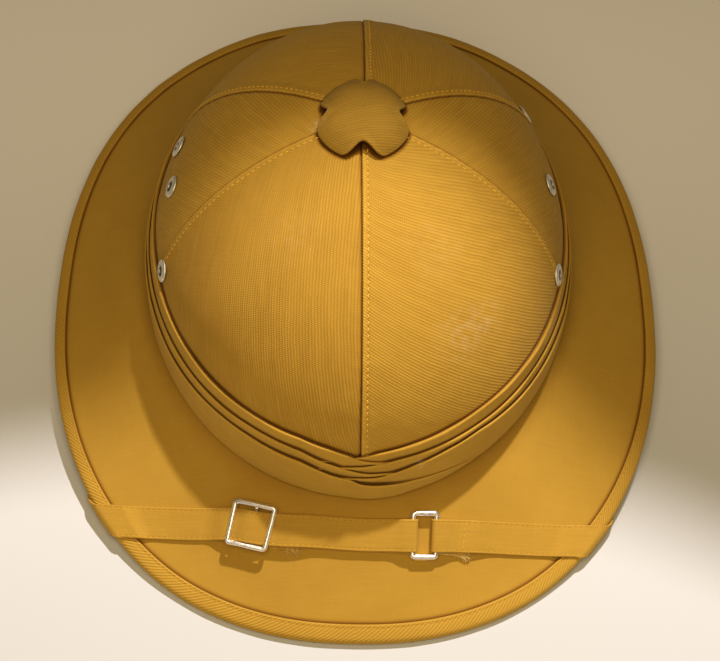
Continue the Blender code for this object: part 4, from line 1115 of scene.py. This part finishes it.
cap_piece = Piece("vent_cap_cloth")
cap_piece.grid(outer, UV, around=True)
# Painted shade on the cap's underside.
cap_piece.grid(inner, UV, around=True, flip=True, shade=np.full(inner.shape[:2], 0.8))
mid_edge = (outer[-1] + inner[-1]) / 2 + unit(outer[-1] - outer[-2]) * 0.35 * MM
rim = np.array([outer[-1], outer[-1] * 0.72 + inner[-1] * 0.28 + unit(outer[-1] - outer[-2]) * 0.28 * MM, mid_edge,
                outer[-1] * 0.28 + inner[-1] * 0.72 + unit(outer[-1] - outer[-2]) * 0.28 * MM, inner[-1]])
rim_uv = np.concatenate([UV[-1:]] * 5) + np.array([0, 0.3, 0.65, 1.0, 1.3])[:, None, None] * MM
cap_piece.grid(rim, rim_uv, around=True)
cap_piece.fan(outer[0], np.array([0.0, CROWN_CENTRE_Y, CAP_RIM_Z + CAP_HEIGHT]) + 0 * outer[0][0], flip=True)
cap_piece.fan(inner[0], np.array([0.0, CROWN_CENTRE_Y, CAP_RIM_Z + CAP_HEIGHT - CAP_THICKNESS]), flip=False)
vent_cap = cap_piece.make(cap_twill)
weld = vent_cap.modifiers.new("weld", "WELD")
weld.merge_threshold = 0.000005
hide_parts("vent_cap")

# ---- vent post: carried over from the frame -----------------------------------------------
for slot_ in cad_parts["vent_post"].material_slots:
    slot_.material = post_finish

# ---- eyelets ------------------------------------------------------------------------------
def bead(r0, z0, r1, z1, count):
    return [(r0 + (r1 - r0) * k / count, z0 + (z1 - z0) * k / count) for k in range(count)]


EYELET = [(2.30, -4.55), (2.30, 0.6), (2.32, 1.05), (2.45, 1.38), (2.75, 1.56), (3.15, 1.62), (3.7, 1.55), (4.3, 1.38), (4.8, 1.18),
          (5.08, 0.98), (5.2, 0.72), (5.17, 0.45), (5.0, 0.32), (4.4, 0.30), (2.86, 0.30), (2.85, 0.0), (2.85, -4.60), (2.6, -4.66)]
eyelet_array = np.array(EYELET) * MM
for name, matrix in eyelet_places:
    turn = np.linspace(0, 2 * np.pi, 48, endpoint=False)
    ring = np.stack([eyelet_array[:, :1] * np.cos(turn)[None], eyelet_array[:, :1] * np.sin(turn)[None],
                     np.broadcast_to(eyelet_array[:, 1:], (len(EYELET), 48))], -1)
    M = np.array(matrix)
    P = ring @ M[:3, :3].T + M[:3, 3]
    along = np.concatenate([[0.0], np.cumsum(np.linalg.norm(np.diff(eyelet_array, axis=0), axis=1)), [0.02]])
    UV = stack(np.linspace(0, 0.03, 49)[None, :], along[:, None])
    piece = Piece(name + "_ring")
    # Painted shade inside the bore and under the flange.
    bore = np.ones(len(EYELET))
    bore[:5] = [0.22, 0.25, 0.36, 0.62, 0.90]
    bore[11:] = 0.4
    piece.grid(P, UV, around=True, ring=True, flip=True, shade=np.repeat(bore[:, None], 48, 1))
    made = piece.make(eyelet_finish)
    made.data.set_sharp_from_angle(angle=math.radians(50))
    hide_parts(name)

# ---- chin strap: line over the front brim ---------------------------------------------------
STRAP_WIDTH, STRAP_THICKNESS, STRAP_GAP, GAP = 14.8 * MM, 1.0 * MM, 0.25 * MM, 0.3 * MM
TAPE_THICKNESS = 0.9 * MM
SLIDE_U, SLIDE_HALF_U, SLIDE_HALF_V = -45.4 * MM, 8.5 * MM, 9.2 * MM
RING_LEFT_U, RING_RIGHT_U, RING_HALF_V, RING_MID_V = 25.4 * MM, 35.6 * MM, 9.3 * MM, -0.3 * MM
WIRE, BAR_WIRE = 1.0 * MM, 0.8 * MM


def strap_line(u):
    swing = -0.10 * (u - SLIDE_U) * np.exp(-((u - SLIDE_U) / (14 * MM)) ** 2)
    return -141.9 * MM + 0.145 * (np.hypot(u, 25 * MM) - 25 * MM) - 0.026 * u + swing


def hill(u, start, end, soft):
    return np.clip((u - start + soft) / soft, 0.0, 1.0) * np.clip((end + soft - u) / soft, 0.0, 1.0)


def strap_skew(u):
    """Lean of the strap's cross threads: more at the slide, none at the ring."""
    lean = 0.11 * np.clip((85 * MM - np.abs(u)) / (20 * MM), 0.0, 1.0)
    return lean + 0.09 * hill(u, -57 * MM, -34 * MM, 8 * MM) - 0.125 * hill(u, 20 * MM, 41 * MM, 8 * MM)


def over_brim(u, v, height):
    u, v, height = np.broadcast_arrays(np.asarray(u, float), np.asarray(v, float), np.asarray(height, float))
    step = 0.5 * MM
    first = brim_frame(*brim_at(u - step, strap_line(u - step)))[0]
    last = brim_frame(*brim_at(u + step, strap_line(u + step)))[0]
    along = unit(last - first)
    middle, normal, _ = brim_frame(*brim_at(u, strap_line(u)))
    across = np.cross(normal, along)
    lean = strap_skew(u)
    shift = -1.15 * MM * hill(u, 20 * MM, 41 * MM, 8 * MM)
    x = middle[..., 0] + v * across[..., 0] + (lean * v + shift) * along[..., 0]
    y = middle[..., 1] + v * across[..., 1] + (lean * v + shift) * along[..., 1]
    base, normal, _ = brim_frame(*brim_at(x, y))
    return base + normal * (BRIM_THICKNESS / 2 + height)[..., None]


def share_over(u, v):
    point = over_brim(u, v, 0.0)
    return brim_at(point[..., 0], point[..., 1])


def edge_crossing(side, v):
    v = np.asarray(v, float)
    low, high = np.full(v.shape, 60 * MM), np.full(v.shape, 140 * MM)
    for _ in range(30):
        middle = (low + high) / 2
        inside = share_over(side * middle, v)[1] < 1.0
        low = np.where(inside, middle, low)
        high = np.where(inside, high, middle)
    return side * (low + high) / 2


REST_HEIGHT = STRAP_GAP + STRAP_THICKNESS / 2
TAPE_HEIGHT = REST_HEIGHT + GAP + TAPE_THICKNESS
LAYER = STRAP_THICKNESS + STRAP_GAP
WRAP = NOSE + REST_HEIGHT
SKEW_FROM = 70 * MM
# Columns over the strap's width: place as a share of it, thickness as a share.
ACROSS = [(-0.5, 0.30), (-0.492, 0.78), (-0.476, 1.08), (-0.455, 1.12), (-0.437, 0.98), (-0.422, 0.82), (-0.405, 0.96), (-0.36, 1.02), (-0.2, 1.0),
          (-0.07, 1.0), (0.07, 1.0), (0.2, 1.0), (0.36, 1.02), (0.405, 0.96), (0.422, 0.82), (0.437, 0.98), (0.455, 1.12), (0.476, 1.08),
          (0.492, 0.78), (0.5, 0.30)]
COLUMNS = np.array([c for c, _ in ACROSS])
THICK = np.array([w for _, w in ACROSS]) * STRAP_THICKNESS


def ease(value, start, end):
    share = np.clip((value - start) / (end - start), 0.0, 1.0)
    return share * share * (3 - 2 * share)


def around_radius(phi, s):
    step = 0.01
    return np.linalg.norm(brim_frame(phi + step, s)[0] - brim_frame(phi - step, s)[0], axis=-1) / (2 * step)


def hidden_run(side):
    """Rows of the strap from the brim's edge, round it, under the brim and up the inside of
    the crown, each row one point for each column."""
    mid_u = edge_crossing(side, 0.0)
    ends = over_brim(mid_u - side * MM, 0.0, 0.0), over_brim(mid_u, 0.0, 0.0)
    heading = unit(ends[1] - ends[0])
    mid_phi = share_over(mid_u, 0.0)[0]
    _, _, outward = brim_frame(mid_phi, 1.0)
    slant = math.acos(float(np.clip(heading @ outward, -1, 1)))
    edge_radius = float(around_radius(mid_phi, 1.0))
    starts = share_over(edge_crossing(side, STRAP_WIDTH * COLUMNS), STRAP_WIDTH * COLUMNS)[0]
    rows = []
    folds = 16
    for k in range(1, folds + 1):
        turn = math.pi * k / folds
        phi = starts + side * WRAP * turn * math.tan(slant) / edge_radius
        centre_, normal_, tangent_ = brim_frame(phi, 1.0)
        rows.append(centre_ + WRAP * (normal_ * math.cos(turn) + tangent_ * math.sin(turn)))
    shift = side * WRAP * math.pi * math.tan(slant) / edge_radius
    phi = float(mid_phi + shift)
    spread = starts - mid_phi
    angle_ = slant
    length_ = float(brim_length(phi))
    steps = 13
    for k in range(1, steps + 1):
        s = 1 - k / steps
        angle_ = slant + (math.radians(57) - slant) * float(ease(1 - s, 0.0, 0.5))
        phi += side * math.tan(angle_) * (length_ / steps) / float(around_radius(phi, s))
        scale_ = edge_radius * math.cos(slant) / (float(around_radius(phi, s)) * math.cos(angle_))
        here = phi + spread * scale_
        base_, normal_, _ = brim_frame(here, s)
        drop_ = TAPE_HEIGHT + (REST_HEIGHT - TAPE_HEIGHT) * float(ease((1 - s) * length_, 6 * MM, 11 * MM))
        if k == steps:
            normal_ = unit(normal_ + UP)
            drop_ = (BRIM_THICKNESS / 2 + drop_) / normal_[:, 2] - BRIM_THICKNESS / 2
        rows.append(base_ - normal_ * np.broadcast_to(BRIM_THICKNESS / 2 + drop_, here.shape)[:, None])
    low_ = BRIM_ROOT_Z - BRIM_THICKNESS
    path = [(0.5 * CROWN_WALL, low_ - REST_HEIGHT), (CROWN_WALL, low_ - REST_HEIGHT)]
    for k in (1, 2, 3):
        turn = math.pi / 2 * k / 3
        path.append((CROWN_WALL + REST_HEIGHT * math.sin(turn), low_ - REST_HEIGHT * math.cos(turn)))
    for z in (44, 48, 52, 56, 60):
        path.append((None, z * MM))
    radius_ = float(around_radius(phi, 0.0))
    angle_in = math.radians(40)
    scale_ = edge_radius * math.cos(slant) / (radius_ * math.cos(angle_in))
    before = (0.0, low_ - REST_HEIGHT)
    for inset, z in path:
        here_ = (CROWN_WALL + REST_HEIGHT if inset is None else inset, z)
        phi += side * math.tan(angle_in) * math.hypot(here_[0] - before[0], here_[1] - before[1]) / radius_
        before = here_
        rows.append(wall(phi + spread * scale_, z, -here_[0]))
    return np.array(rows)


def over_run(side, profile):
    """Rows over the brim from a list of (u, height), skewed to meet the edge."""
    u = np.array([p[0] for p in profile])[:, None] + 0 * COLUMNS[None]
    height = np.array([p[1] for p in profile])[:, None] + 0 * COLUMNS[None]
    v = STRAP_WIDTH * COLUMNS[None] + np.array([p[2] if len(p) > 2 else 0.0 for p in profile])[:, None]
    mid_u = float(edge_crossing(side, 0.0))
    end_u = edge_crossing(side, STRAP_WIDTH * COLUMNS)[None]
    past = side * u - SKEW_FROM
    u = np.where(past > 0, side * (SKEW_FROM + past * (side * end_u - SKEW_FROM) / (side * mid_u - SKEW_FROM)), u)
    return over_brim(u, v, height)


def outer_profile(side, inner_u, height_at_inner):
    mid_u = abs(float(edge_crossing(side, 0.0)))
    count = 14
    profile = []
    for k in range(count + 1):
        u = abs(inner_u) + (mid_u - abs(inner_u)) * k / count
        height = height_at_inner + (REST_HEIGHT - height_at_inner) * float(ease(u, abs(inner_u), abs(inner_u) + 11 * MM))
        height += (TAPE_HEIGHT - REST_HEIGHT) * float(ease(u, mid_u - 15 * MM, mid_u - 9 * MM))
        profile.append((side * u, height))
    return profile


def arc(centre_u, centre_h, radius, start, end, steps):
    return [(centre_u + radius * math.cos(math.radians(start + (end - start) * k / steps)),
             centre_h + radius * math.sin(math.radians(start + (end - start) * k / steps)))
            for k in range(steps + 1)]


RING_LOOP = WIRE + 0.2 * MM + STRAP_THICKNESS / 2
RING_HEIGHT = REST_HEIGHT + RING_LOOP
BAR_LOOP = BAR_WIRE + 0.2 * MM + STRAP_THICKNESS / 2
BAR_HEIGHT = 3.0 * MM
TOP_LAYER = REST_HEIGHT + 2 * LAYER
LEG_HEIGHT = TOP_LAYER + STRAP_THICKNESS / 2 + 0.25 * MM + WIRE
HUMP = BAR_HEIGHT + BAR_LOOP + LAYER + 0.05 * MM
left_leg, right_leg = SLIDE_U - SLIDE_HALF_U, SLIDE_U + SLIDE_HALF_U

left_start = list(reversed(outer_profile(-1, -66 * MM, REST_HEIGHT)))
run_over = []
for k in range(1, 5):
    u = -66 * MM + (left_leg + 66 * MM) * k / 4
    run_over.append((u, REST_HEIGHT + (TOP_LAYER - REST_HEIGHT) * float(ease(u, -66 * MM, left_leg))))
for k in range(1, 13):
    u = left_leg + (right_leg - left_leg) * k / 12
    wave_ = (1 - math.cos(2 * math.pi * k / 12)) / 2
    run_over.append((u, TOP_LAYER + (HUMP - TOP_LAYER) * wave_))
for u in (-32, -28, -24, -20, -16, -10, -4, 3, 9, 14):
    u *= MM
    run_over.append((u, TOP_LAYER + (REST_HEIGHT + LAYER - TOP_LAYER) * float(ease(u, -28 * MM, -14 * MM))))
run_over += [(18 * MM, REST_HEIGHT + LAYER + 0.5 * MM), (21.5 * MM, REST_HEIGHT + LAYER + 1.6 * MM)]
run_over += arc(RING_LEFT_U, RING_HEIGHT, RING_LOOP, 110, -90, 9)
for u in (20, 14, 8, 2, -4, -10, -15, -19, -23, -27, -31, -34.5):
    u *= MM
    run_over.append((u, REST_HEIGHT + LAYER * float(ease(-u, 14 * MM, 23 * MM))))
run_over += [(-37.5 * MM, REST_HEIGHT + LAYER + 0.45 * MM), (-40.6 * MM, REST_HEIGHT + LAYER + 1.5 * MM)]
run_over += arc(SLIDE_U, BAR_HEIGHT, BAR_LOOP, 58, 262, 9)
# The sewn-down end lies a little askew and shows below the edge of the layer over it.
run_over += [(-42.6 * MM, REST_HEIGHT + 0.35 * MM), (-39.5 * MM, REST_HEIGHT, -0.5 * MM), (-35 * MM, REST_HEIGHT, -1.1 * MM),
             (-30 * MM, REST_HEIGHT, -1.8 * MM), (-25.0 * MM, REST_HEIGHT, -2.4 * MM)]
long_rows = np.concatenate([hidden_run(-1)[::-1], over_run(-1, left_start + run_over)])

right_start = [(50.0 * MM, REST_HEIGHT, -1.9 * MM), (45.5 * MM, REST_HEIGHT, -1.2 * MM), (41 * MM, REST_HEIGHT, -0.4 * MM)]
right_start += arc(RING_RIGHT_U, RING_HEIGHT, RING_LOOP, 270, 70, 9)
right_start += [(39.5 * MM, REST_HEIGHT + LAYER + 1.6 * MM), (43 * MM, REST_HEIGHT + LAYER + 0.5 * MM),
                (47 * MM, REST_HEIGHT + LAYER)]
right_start += outer_profile(1, 51.5 * MM, REST_HEIGHT + LAYER)
short_rows = np.concatenate([over_run(1, right_start), hidden_run(1)])


def refine(rows, times):
    """Catmull-Rom points between the rows."""
    padded = np.concatenate([2 * rows[:1] - rows[1:2], rows, 2 * rows[-1:] - rows[-2:-1]])
    made = []
    for i in range(len(rows) - 1):
        p0, p1, p2, p3 = padded[i:i + 4]
        for k in range(times):
            t = k / times
            made.append(0.5 * ((2 * p1) + (-p0 + p2) * t + (2 * p0 - 5 * p1 + 4 * p2 - p3) * t * t + (-p0 + 3 * p1 - 3 * p2 + p3) * t ** 3))
    made.append(rows[-1])
    return np.array(made)


def ribbon(name, rows, thread_piece):
    """Folded cloth strap with a stitched line along each edge."""
    rows = refine(rows, 3)
    step = np.linalg.norm(np.diff(rows.mean(1), axis=0), axis=1)
    keep_ = np.concatenate([[True], step > 0.05 * MM])
    rows = rows[keep_]
    along = np.gradient(rows, axis=0)
    across_ = np.gradient(rows, axis=1)
    normal_ = unit(np.cross(along, across_))
    for _ in range(2):
        normal_ = unit((np.roll(normal_, 1, 0) + 2 * normal_ + np.roll(normal_, -1, 0)))
        normal_[0], normal_[-1] = normal_[1], normal_[-2]
    run_ = along_columns(rows)
    run_ = run_[:, len(COLUMNS) // 2]
    width_ = STRAP_WIDTH * COLUMNS
    uv_ = stack(run_[:, None], width_[None, :])
    wander_ = 0.06 * MM * ripple(rows, 71, 0.012)
    half_ = (THICK / 2)[None, :, None]
    top_ = rows + normal_ * (half_ + wander_[..., None])
    low_ = rows - normal_ * (half_ - wander_[..., None])
    shade_ = np.ones(rows.shape[:2])
    # Painted shade along the two stitched lines.
    shade_[:, [5, 14]] = 0.82
    piece_ = Piece(name)
    piece_.grid(top_, uv_, flip=True, shade=shade_)
    piece_.grid(low_, uv_, flip=False, shade=shade_)
    for column, turned in ((0, True), (-1, False)):
        side_ = np.stack([top_[:, column], low_[:, column]])
        suv = np.stack([uv_[:, column], uv_[:, column] + np.array([0, 0.4 * MM])])
        piece_.grid(side_, suv, flip=turned)
    for row, turned in ((0, False), (-1, True)):
        end_ = np.stack([top_[row], low_[row]])
        euv = np.stack([uv_[row], uv_[row] + np.array([0.8 * MM, 0])])
        piece_.grid(end_, euv, flip=turned)
    made_ = piece_.make(strap_weave)
    weld_ = made_.modifiers.new("weld", "WELD")
    weld_.merge_threshold = 0.000005
    for column in (5, 14):
        for sign_, skin in ((1, top_), (-1, low_)):
            line = skin[:, column]
            run_line = np.concatenate([[0.0], np.cumsum(np.linalg.norm(np.diff(line, axis=0), axis=1))])
            marks = np.arange(1.6 * MM, run_line[-1] - 1.2 * MM, 2.6 * MM)
            centres = np.stack([np.interp(marks, run_line, line[:, k]) for k in range(3)], 1)
            normals_ = unit(np.stack([np.interp(marks, run_line, sign_ * normal_[:, column, k]) for k in range(3)], 1))
            ahead = np.stack([np.interp(marks + 0.3 * MM, run_line, line[:, k]) for k in range(3)], 1)
            headings = unit(ahead - centres)
            headings = unit(headings - normals_ * (headings * normals_).sum(-1, keepdims=True))
            thread_piece.stitches(centres, headings, normals_, 1.9 * MM, 0.34 * MM)
    return made_


strap_threads = Piece("strap_stitches")
strap_long = ribbon("strap_long_cloth", long_rows, strap_threads)
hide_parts("chin_strap_long")
strap_short = ribbon("strap_short_cloth", short_rows, strap_threads)
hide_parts("chin_strap_short")


def cross_stitches(piece, u, height, count=5):
    """A row of stitches across the strap, where a folded end is sewn down."""
    v = np.linspace(-0.36, 0.36, count) * STRAP_WIDTH
    P_ = over_brim(np.full(count, u), v, np.full(count, height))
    ahead = over_brim(np.full(count, u), v + 0.4 * MM, np.full(count, height))
    aside = over_brim(np.full(count, u + 0.4 * MM), v, np.full(count, height))
    heading_ = unit(ahead - P_)
    normal_ = unit(np.cross(aside - P_, heading_))
    piece.stitches(P_, heading_, normal_, 2.1 * MM, 0.36 * MM)


cross_stitches(strap_threads, 45.6 * MM, REST_HEIGHT + LAYER + STRAP_THICKNESS / 2)
cross_stitches(strap_threads, 47.4 * MM, REST_HEIGHT + LAYER + STRAP_THICKNESS / 2)
strap_stitches = strap_threads.make(strap_thread)

# Frayed threads at the two sewn-down ends.
fray = Piece("strap_frayed_ends")
rng = np.random.default_rng(8)
for base_u, direction, low_v, high_v, longest in ((-25.0, 1, -0.66, -0.50, 3.6), (50.0, 1, -0.62, -0.44, 5.0), (101.0, 1, 0.42, 0.52, 3.0)):
    if base_u < 100:
        # The cut edge of the doubled end shows below the strap.
        q = np.linspace(0, 1, 26)
        edge_u = (base_u - 13.0 + 14.0 * q) * MM
        edge_v = (-0.53 - 0.10 * q + 0.006 * np.sin(q * 17.0)) * STRAP_WIDTH
        fray.tube(over_brim(edge_u, edge_v, 0.62 * MM), 0.46 * MM, segments=8)
    for k in range(60 if base_u < 100 else 14):
        v0 = rng.uniform(low_v, high_v) * STRAP_WIDTH
        u0 = (base_u - direction * rng.uniform(0.0, 5.0)) * MM
        reach = rng.uniform(1.5, longest) * MM
        heading_u, heading_v = direction * rng.uniform(0.15, 1.0), -rng.uniform(0.2, 0.8)
        bend = rng.uniform(-0.5, 0.5)
        q = np.linspace(0, 1, 7)
        uu = u0 + reach * (heading_u * q + bend * 0.3 * q * q)
        vv = v0 + reach * (heading_v * q - bend * 0.25 * q * q)
        hh = (0.45 + 0.55 * np.sin(q * np.pi) * rng.uniform(0.2, 1.4)) * MM
        fray.tube(over_brim(uu, vv, hh + (1.1 * MM if base_u > 100 else 0.3 * MM)), 0.17 * MM * (1.0 - 0.55 * q), segments=6)
frayed = fray.make(pale_thread)


# ---- slide and ring -------------------------------------------------------------------------
def rounded_frame(left, right_, bottom, top_, radius):
    us, vs = [], []
    corners = ((right_ - radius, top_ - radius, 0), (left + radius, top_ - radius, 90),
               (left + radius, bottom + radius, 180), (right_ - radius, bottom + radius, 270))
    for number, (cu, cv, start) in enumerate(corners):
        turn_ = np.radians(start + np.linspace(0, 90, 8))
        us += list(cu + radius * np.cos(turn_))
        vs += list(cv + radius * np.sin(turn_))
        nu, nv, nstart = corners[(number + 1) % 4]
        end_u, end_v = us[-1], vs[-1]
        next_u = nu + radius * math.cos(math.radians(nstart))
        next_v = nv + radius * math.sin(math.radians(nstart))
        for share in (0.2, 0.4, 0.6, 0.8):
            us.append(end_u + (next_u - end_u) * share)
            vs.append(end_v + (next_v - end_v) * share)
    return np.array(us), np.array(vs)


slide = Piece("slide_wire")
us, vs = rounded_frame(left_leg, right_leg, -SLIDE_HALF_V, SLIDE_HALF_V + 0.6 * MM, 1.3 * MM)
slide.tube(over_brim(us, vs - 0.07 * (us - SLIDE_U) + 0.5 * MM, LEG_HEIGHT), 1.14 * MM, 16, cyclic=True)
bar_v = np.array([-9.2, -9.0, -8.75, -8.4, -7.6, -4, 0, 4, 7.6, 8.4, 8.75, 9.0, 9.2]) * MM
bar_h = np.array([LEG_HEIGHT - 0.3 * MM, BAR_HEIGHT + 1.2 * MM, BAR_HEIGHT + 0.5 * MM, BAR_HEIGHT + 0.1 * MM, BAR_HEIGHT, BAR_HEIGHT, BAR_HEIGHT,
                  BAR_HEIGHT, BAR_HEIGHT, BAR_HEIGHT + 0.1 * MM, BAR_HEIGHT + 0.5 * MM, BAR_HEIGHT + 1.2 * MM, LEG_HEIGHT - 0.3 * MM])
slide.tube(over_brim(np.full(13, SLIDE_U), bar_v, bar_h), BAR_WIRE, 12)
slide_wire = slide.make(nickel)
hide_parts("strap_slide")
ring = Piece("ring_wire")
us, vs = rounded_frame(RING_LEFT_U, RING_RIGHT_U, RING_MID_V - RING_HALF_V, RING_MID_V + RING_HALF_V + 0.9 * MM, 1.2 * MM)
ring.tube(over_brim(us, vs, RING_HEIGHT), np.interp(np.abs(vs - RING_MID_V), [7.6 * MM, 8.6 * MM], [1.0 * MM, 1.3 * MM]), 16, cyclic=True)
ring_wire = ring.make(nickel)
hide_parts("strap_ring")

# ---- floor and light ------------------------------------------------------------------------
floor_finish = Finish("pale_floor")
split = floor_finish.add("ShaderNodeSeparateXYZ")
floor_finish.put(split.inputs[0], floor_finish.spot())
# The floor is painted darker at the front and paler towards the back, as painted shade and painted light.
paler = floor_finish.span(split.outputs[1], -0.20, 0.20, smooth=True)
floor_finish.put(floor_finish.shader.inputs["Base Color"], floor_finish.mix(paler, (0.56, 0.58, 0.58), (0.93, 0.93, 0.92)))
floor_finish.shader.inputs["Roughness"].default_value = 0.9
floor_mesh = bpy.data.meshes.new("floor")
floor_mesh.from_pydata([(-4, -4, 0), (4, -4, 0), (4, 4, 0), (-4, 4, 0)], [], [(0, 1, 2, 3)])
floor_mesh.materials.append(floor_finish.material)
floor = bpy.data.objects.new("floor", floor_mesh)
scene.collection.objects.link(floor)

WARM = (1.0, 0.84, 0.55)


def lamp(name, kind, power, direction, distance, target=(0.0, -0.03, 0.05), size=0.4, size_y=None, colour=WARM):
    data = bpy.data.lights.new(name, kind)
    data.energy = power
    data.color = colour
    made_ = bpy.data.objects.new(name, data)
    scene.collection.objects.link(made_)
    way = Vector(direction).normalized()
    made_.location = Vector(target) + way * distance
    made_.rotation_euler = way.to_track_quat("Z", "Y").to_euler()
    if kind == "AREA":
        data.shape = "RECTANGLE"
        data.size = size
        data.size_y = size_y or size
    return made_


key = lamp("key", "SPOT", 116.0, (0.2107, 0.6486, 0.7314), 1.9, target=(-0.1003, -0.7123, 0.0103), colour=(1.0, 0.90, 0.88))
key.data.spot_size = math.radians(36.5)
key.data.spot_blend = 0.05
key.data.shadow_soft_size = 0.030
fill = lamp("fill", "AREA", 9.8, (-0.04, -0.50, 0.86), 1.3, size=0.8, colour=(1.0, 0.78, 0.47))
world = bpy.data.worlds.new("soft_surround")
scene.world = world
world.use_nodes = True
world.node_tree.nodes["Background"].inputs[0].default_value = (1.0, 0.80, 0.52, 1.0)
world.node_tree.nodes["Background"].inputs[1].default_value = 0.12
